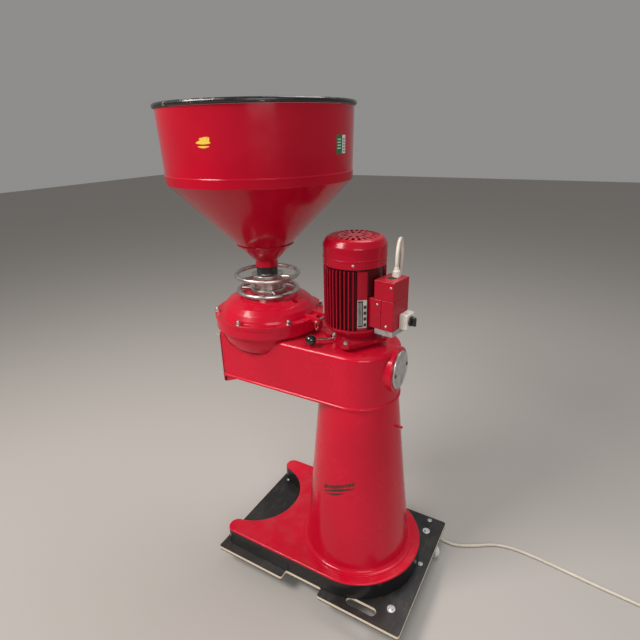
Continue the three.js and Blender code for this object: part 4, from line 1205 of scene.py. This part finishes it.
def fan_cowl():
    wall = 2
    bead = COWL + 1.0
    outside = [(COWL, COWL_LOW, 0.4), (COWL, 1054.2, 0.5), (bead, 1055.3, 0.7), (bead, 1057.7, 0.7),
               (COWL, 1058.8, 0.5), (COWL, 1089, 14), (79, 1107, 12), (66, COWL_HIGH, 6), (0, COWL_HIGH)]
    inside = [(0, COWL_HIGH - wall), (65, COWL_HIGH - wall, 5), (77.5, 1105.4, 11),
              (COWL - wall, 1088.5, 12), (COWL - wall, COWL_LOW)]
    cowl = lathe([*outside, *inside], 128)
    cutters = []
    # Two rings of slots: how many, inner and outer radius, half width, corner radius, turned by.
    for count, near, far, half, corner, phase in ((24, 45.5, 68, 3.9, 1.8, 0), (10, 21, 40, 4.2, 2, 11)):
        for k in range(count):
            bar = block(near, far, -half, half, COWL_HIGH - 12, COWL_HIGH + 3)
            cutters.append(moved(softened(bar, corner, 2, 60), turn(360 / count * k + phase)))
    return cut(cowl, joined(*cutters))


piece("cowl_cap", fan_cowl(), MOTOR, "motor", red_motor, "red_enamel", "fan_cowl", smooth=30)
cowl_screws = []
for k in range(4):
    head = moved(slotted_screw(3.6, 2.0), turn(25), ALONG_X, shift(COWL - 0.1, 0, 1047))
    cowl_screws.append(moved(head, turn(31.8 + 90 * k)))
piece("cowl_screws", joined(*cowl_screws), MOTOR, "motor", zinc, "zinc")


def nameplate():
    """Blank rating plate on the stator's pad: aluminium with dark fields and pale rules."""
    pad, centre, z = 86.3, 48.4, 912.5
    plate = wrapped([rectangle(-13, 13, -40, 40)], lambda _: pad, centre, z, lift=0.7)
    squares = [rectangle(4, 11.5, -36 + 17 * k, -27 + 17 * k) for k in range(4)]
    fields = [rectangle(-11.5, 2, -37.5, 37.5)] + squares
    dark = wrapped(fields, lambda _: pad + 0.5, centre, z, lift=0.45)
    rules = [rectangle(-10 + 3.6 * k, -8.6 + 3.6 * k, -33, 33) for k in range(3)]
    pale = wrapped(rules, lambda _: pad + 0.75, centre, z, lift=0.45)
    piece("rating_plate", plate, MOTOR, "motor", plate_aluminium, "aluminium")
    piece("rating_plate_fields", dark, MOTOR, "motor", black_print, "black_enamel")
    piece("rating_plate_rules", pale, MOTOR, "motor", plate_aluminium, "aluminium")


nameplate()


# ---------------------------------------------------------------- electrical boxes
HALF, BOX_LOW, BOX_HIGH, BOX_BACK, LID_Y, LID_Z = 39.5, 873, 1009, 149, 111.7, 956.7
BLANK_X, BLANK_Y, BLANK_DEPTH = 1.4, 119.7, 1.6      # recess for the blanking plug


def terminal_box():
    """Hollowed to sit on the round stator."""
    seat = 80.2
    half_angle = math.degrees(math.asin(HALF / seat))
    outline = [*arc(0, 0, seat, 90 + half_angle, 90 - half_angle, 24), (HALF, LID_Y), (-HALF, LID_Y)]
    return softened(prism(outline, BOX_LOW, LID_Z), 1.6, 3, 40)


def control_box():
    """Two stacked shells with a seam between them; the upper one reaches over the terminal box."""
    lower = block(-HALF, HALF, LID_Y + 0.4, BOX_BACK, BOX_LOW, LID_Z + 0.3, 1.2)
    upper = block(-HALF, HALF, 89.6, BOX_BACK, LID_Z + 0.5, BOX_HIGH, 1.6)
    low, high = BOX_HIGH - BLANK_DEPTH, BOX_HIGH + 2
    cut(upper, rod((BLANK_X, BLANK_Y, low), (BLANK_X, BLANK_Y, high), 11.5, 48))
    return joined(lower, upper)


def box_screws():
    made = []
    for z, y in ((BOX_LOW + 12, 128), (BOX_HIGH - 14, 140), (LID_Z - 14, 100)):
        for side in (-1, 1):
            made.append(moved(slotted_screw(3.4, 1.8), turn(30 * side), turn(90 * side, "Y"),
                              shift((HALF - 0.1) * side, y, z)))
    return joined(*made)


piece("terminal_base", terminal_box(), MOTOR, "motor", red_boxes, "red_enamel", "terminal_box")
piece("control_case", control_box(), MOTOR, "motor", red_boxes, "red_enamel", "control_box")
piece("case_screws", box_screws(), MOTOR, "motor", zinc, "zinc")
blank = lathe([(0, 0), (11.2, 0, 0.2), (11.2, 0.9, 0.4), (7, 1.2, 0.5), (6, 0.5, 0.4), (0, 0.5)], 48)
piece("blanking_plug", blank, MOTOR @ shift(BLANK_X, BLANK_Y, BOX_HIGH - BLANK_DEPTH), "motor",
      black_moulding, "knob_black")

SWITCH_X, SWITCH_Z, SWITCH_HALF = -14.5, 894.5, 21.5
SWITCH_FACE = BOX_BACK + 23.5


def switch_box():
    """Surface-mounted switch housing with a stepped lid and two lid screws."""
    near, lid = BOX_BACK + 0.3, BOX_BACK + 17
    side, inner = SWITCH_HALF, SWITCH_HALF - 0.8
    base = block(SWITCH_X - side, SWITCH_X + side, near, lid, SWITCH_Z - side, SWITCH_Z + side, 2.2)
    cap = block(SWITCH_X - inner, SWITCH_X + inner, lid - 1, SWITCH_FACE, SWITCH_Z - inner,
                SWITCH_Z + inner, 2.6)
    screws = []
    for a, b in ((-1, 1), (1, -1)):
        spot = shift(SWITCH_X + 15.5 * a, SWITCH_FACE - 0.1, SWITCH_Z + 15.5 * b)
        screws.append(moved(slotted_screw(2.4, 1.0), ALONG_Y, spot))
    piece("switch_housing", joined(base, cap, *screws), MOTOR, "motor", ivory, "ivory_plastic", "switch_box")


switch_box()


def switch_knob():
    face = SWITCH_FACE + 0.3
    dial = moved(lathe([(0, 0), (14, 0, 0.3), (14, 2.2, 0.8), (12, 4.6, 1.6), (0, 5)], 64), ALONG_Y,
                 shift(SWITCH_X, face, SWITCH_Z))
    wide, tall = 4, 12.6
    grip = block(SWITCH_X - wide, SWITCH_X + wide, face + 3, face + 16, SWITCH_Z - tall, SWITCH_Z + tall)
    return joined(dial, softened(grip, 2.6, 4))


piece("switch_grip", switch_knob(), MOTOR, "switch_knob", black_moulding, "knob_black", "switch_knob")
marks = [moved(block(-0.7, 0.7, 11.0, 13.2, 0, 0.35), turn(90 * k)) for k in range(4)]
knob_place = MOTOR @ shift(SWITCH_X, SWITCH_FACE + 2.6, SWITCH_Z) @ ALONG_Y
piece("switch_dial_marks", joined(*marks), knob_place, "switch_knob", white_print, "ivory_plastic")


def gland():
    """Cable gland: hexagon foot, ribbed dome nut and a tapered strain relief round the lead."""
    base = nut(11, 0.3, 8.5, 0.7)
    dome = lathe([(0, 8), (9.6, 8, 0.4), (9.6, 15.5, 1.2), (8, 18.5, 1), (0, 18.5)], 48)
    taper = lathe([(0, 17), (7.8, 17, 0.4), (5.6, 27.4, 0.5), (0, 27.6)], 40)
    ribs = [moved(block(9.0, 10.0, -0.7, 0.7, 9.2, 15.2, 0.3), turn(30 * k)) for k in range(12)]
    return joined(base, dome, taper, *ribs)


piece("gland_and_relief", gland(), MOTOR @ shift(-17, 122, BOX_HIGH), "motor", ivory, "ivory_plastic",
      "cable_gland")


# ---------------------------------------------------------------- clamp lever
BALL_AT = Vector((104, -103, 822))


def clamp_lever():
    hub = lathe([(0, 800.6), (8.5, 800.6, 0.5), (8.5, 806, 0.5), (7.6, 807.5, 0.5), (7.6, 822, 0.5),
                 (8.5, 823.5, 0.6), (8.5, 831, 1), (0, 831.4)], 48)
    top = nut(6.5, 831, 838.6, 0.8)
    hub = moved(joined(hub, top), shift(CLAMP_X, CLAMP_Y))
    start = Vector((CLAMP_X, CLAMP_Y, 814))
    along = (BALL_AT - start).normalized()
    return joined(hub, rod(start, BALL_AT - along * 15.2, 3.5, 28, 0.6))


piece("clamp_stud_and_rod", clamp_lever(), COLUMN, "clamp", steel, "steel", "clamp_lever")
piece("clamp_ball_grip", ball(16, BALL_AT), COLUMN, "clamp", bakelite, "bakelite", "clamp_ball", smooth=60)

# ---------------------------------------------------------------- CAD nodes that stay in sight
kept = {
    "product_chute": steel, "bearing_housing": iron, "lower_bearing": steel, "upper_bearing": steel,
    "drive_belt": rubber, "spindle": steel, "rotating_disc": iron, "driven_pulley": iron, "fixed_disc": iron,
    "motor_rotor": steel, "motor_pulley": iron, "motor_fan": black_moulding, "box_tray": zinc,
}
for name, surface in kept.items():
    node = frame["nodes"][name]
    node.data.materials.clear()
    node.data.materials.append(surface)


# ---------------------------------------------------------------- floor and light
def floor():
    mesh = bpy.data.meshes.new("floor")
    half = 14
    corners = [(-half, -half, 0), (half, -half, 0), (half, half, 0), (-half, half, 0)]
    mesh.from_pydata(corners, [], [(0, 1, 2, 3)])
    ground = bpy.data.objects.new("floor", mesh)
    ground.location.z = -0.0004
    bpy.context.scene.collection.objects.link(ground)
    s = Surface("pale_floor")
    mesh.materials.append(s.finish(Base_Color=(0.47, 0.44, 0.41), Roughness=0.7, Specular_IOR_Level=0.2))


def area_light(name, place, aim, size, power, tint=(1, 1, 1)):
    data = bpy.data.lights.new(name, "AREA")
    data.shape, data.size, data.size_y = "RECTANGLE", size[0], size[1]
    data.energy, data.color = power, tint
    lamp = bpy.data.objects.new(name, data)
    lamp.location = place
    lamp.rotation_mode = "QUATERNION"
    lamp.rotation_quaternion = (Vector(aim) - Vector(place)).to_track_quat("-Z", "Y")
    bpy.context.scene.collection.objects.link(lamp)


def lights():
    world = bpy.data.worlds.new("studio")
    bpy.context.scene.world = world
    world.use_nodes = True
    background = world.node_tree.nodes["Background"]
    background.inputs["Color"].default_value = (0.80, 0.79, 0.78, 1)
    background.inputs["Strength"].default_value = 0.34
    area_light("key", (1.9, -1.3, 3.1), (0, 0, 0.8), (1.3, 1.0), 95, (1.0, 0.96, 0.92))
    area_light("fill", (2.6, 2.2, 2.2), (0, 0.1, 0.7), (1.8, 1.4), 42, (0.95, 0.97, 1.0))
    area_light("top", (-1.0, 0.4, 3.6), (0, 0, 0.8), (1.8, 1.2), 45)
    bpy.context.scene.view_settings.view_transform = "Standard"


floor()
lights()
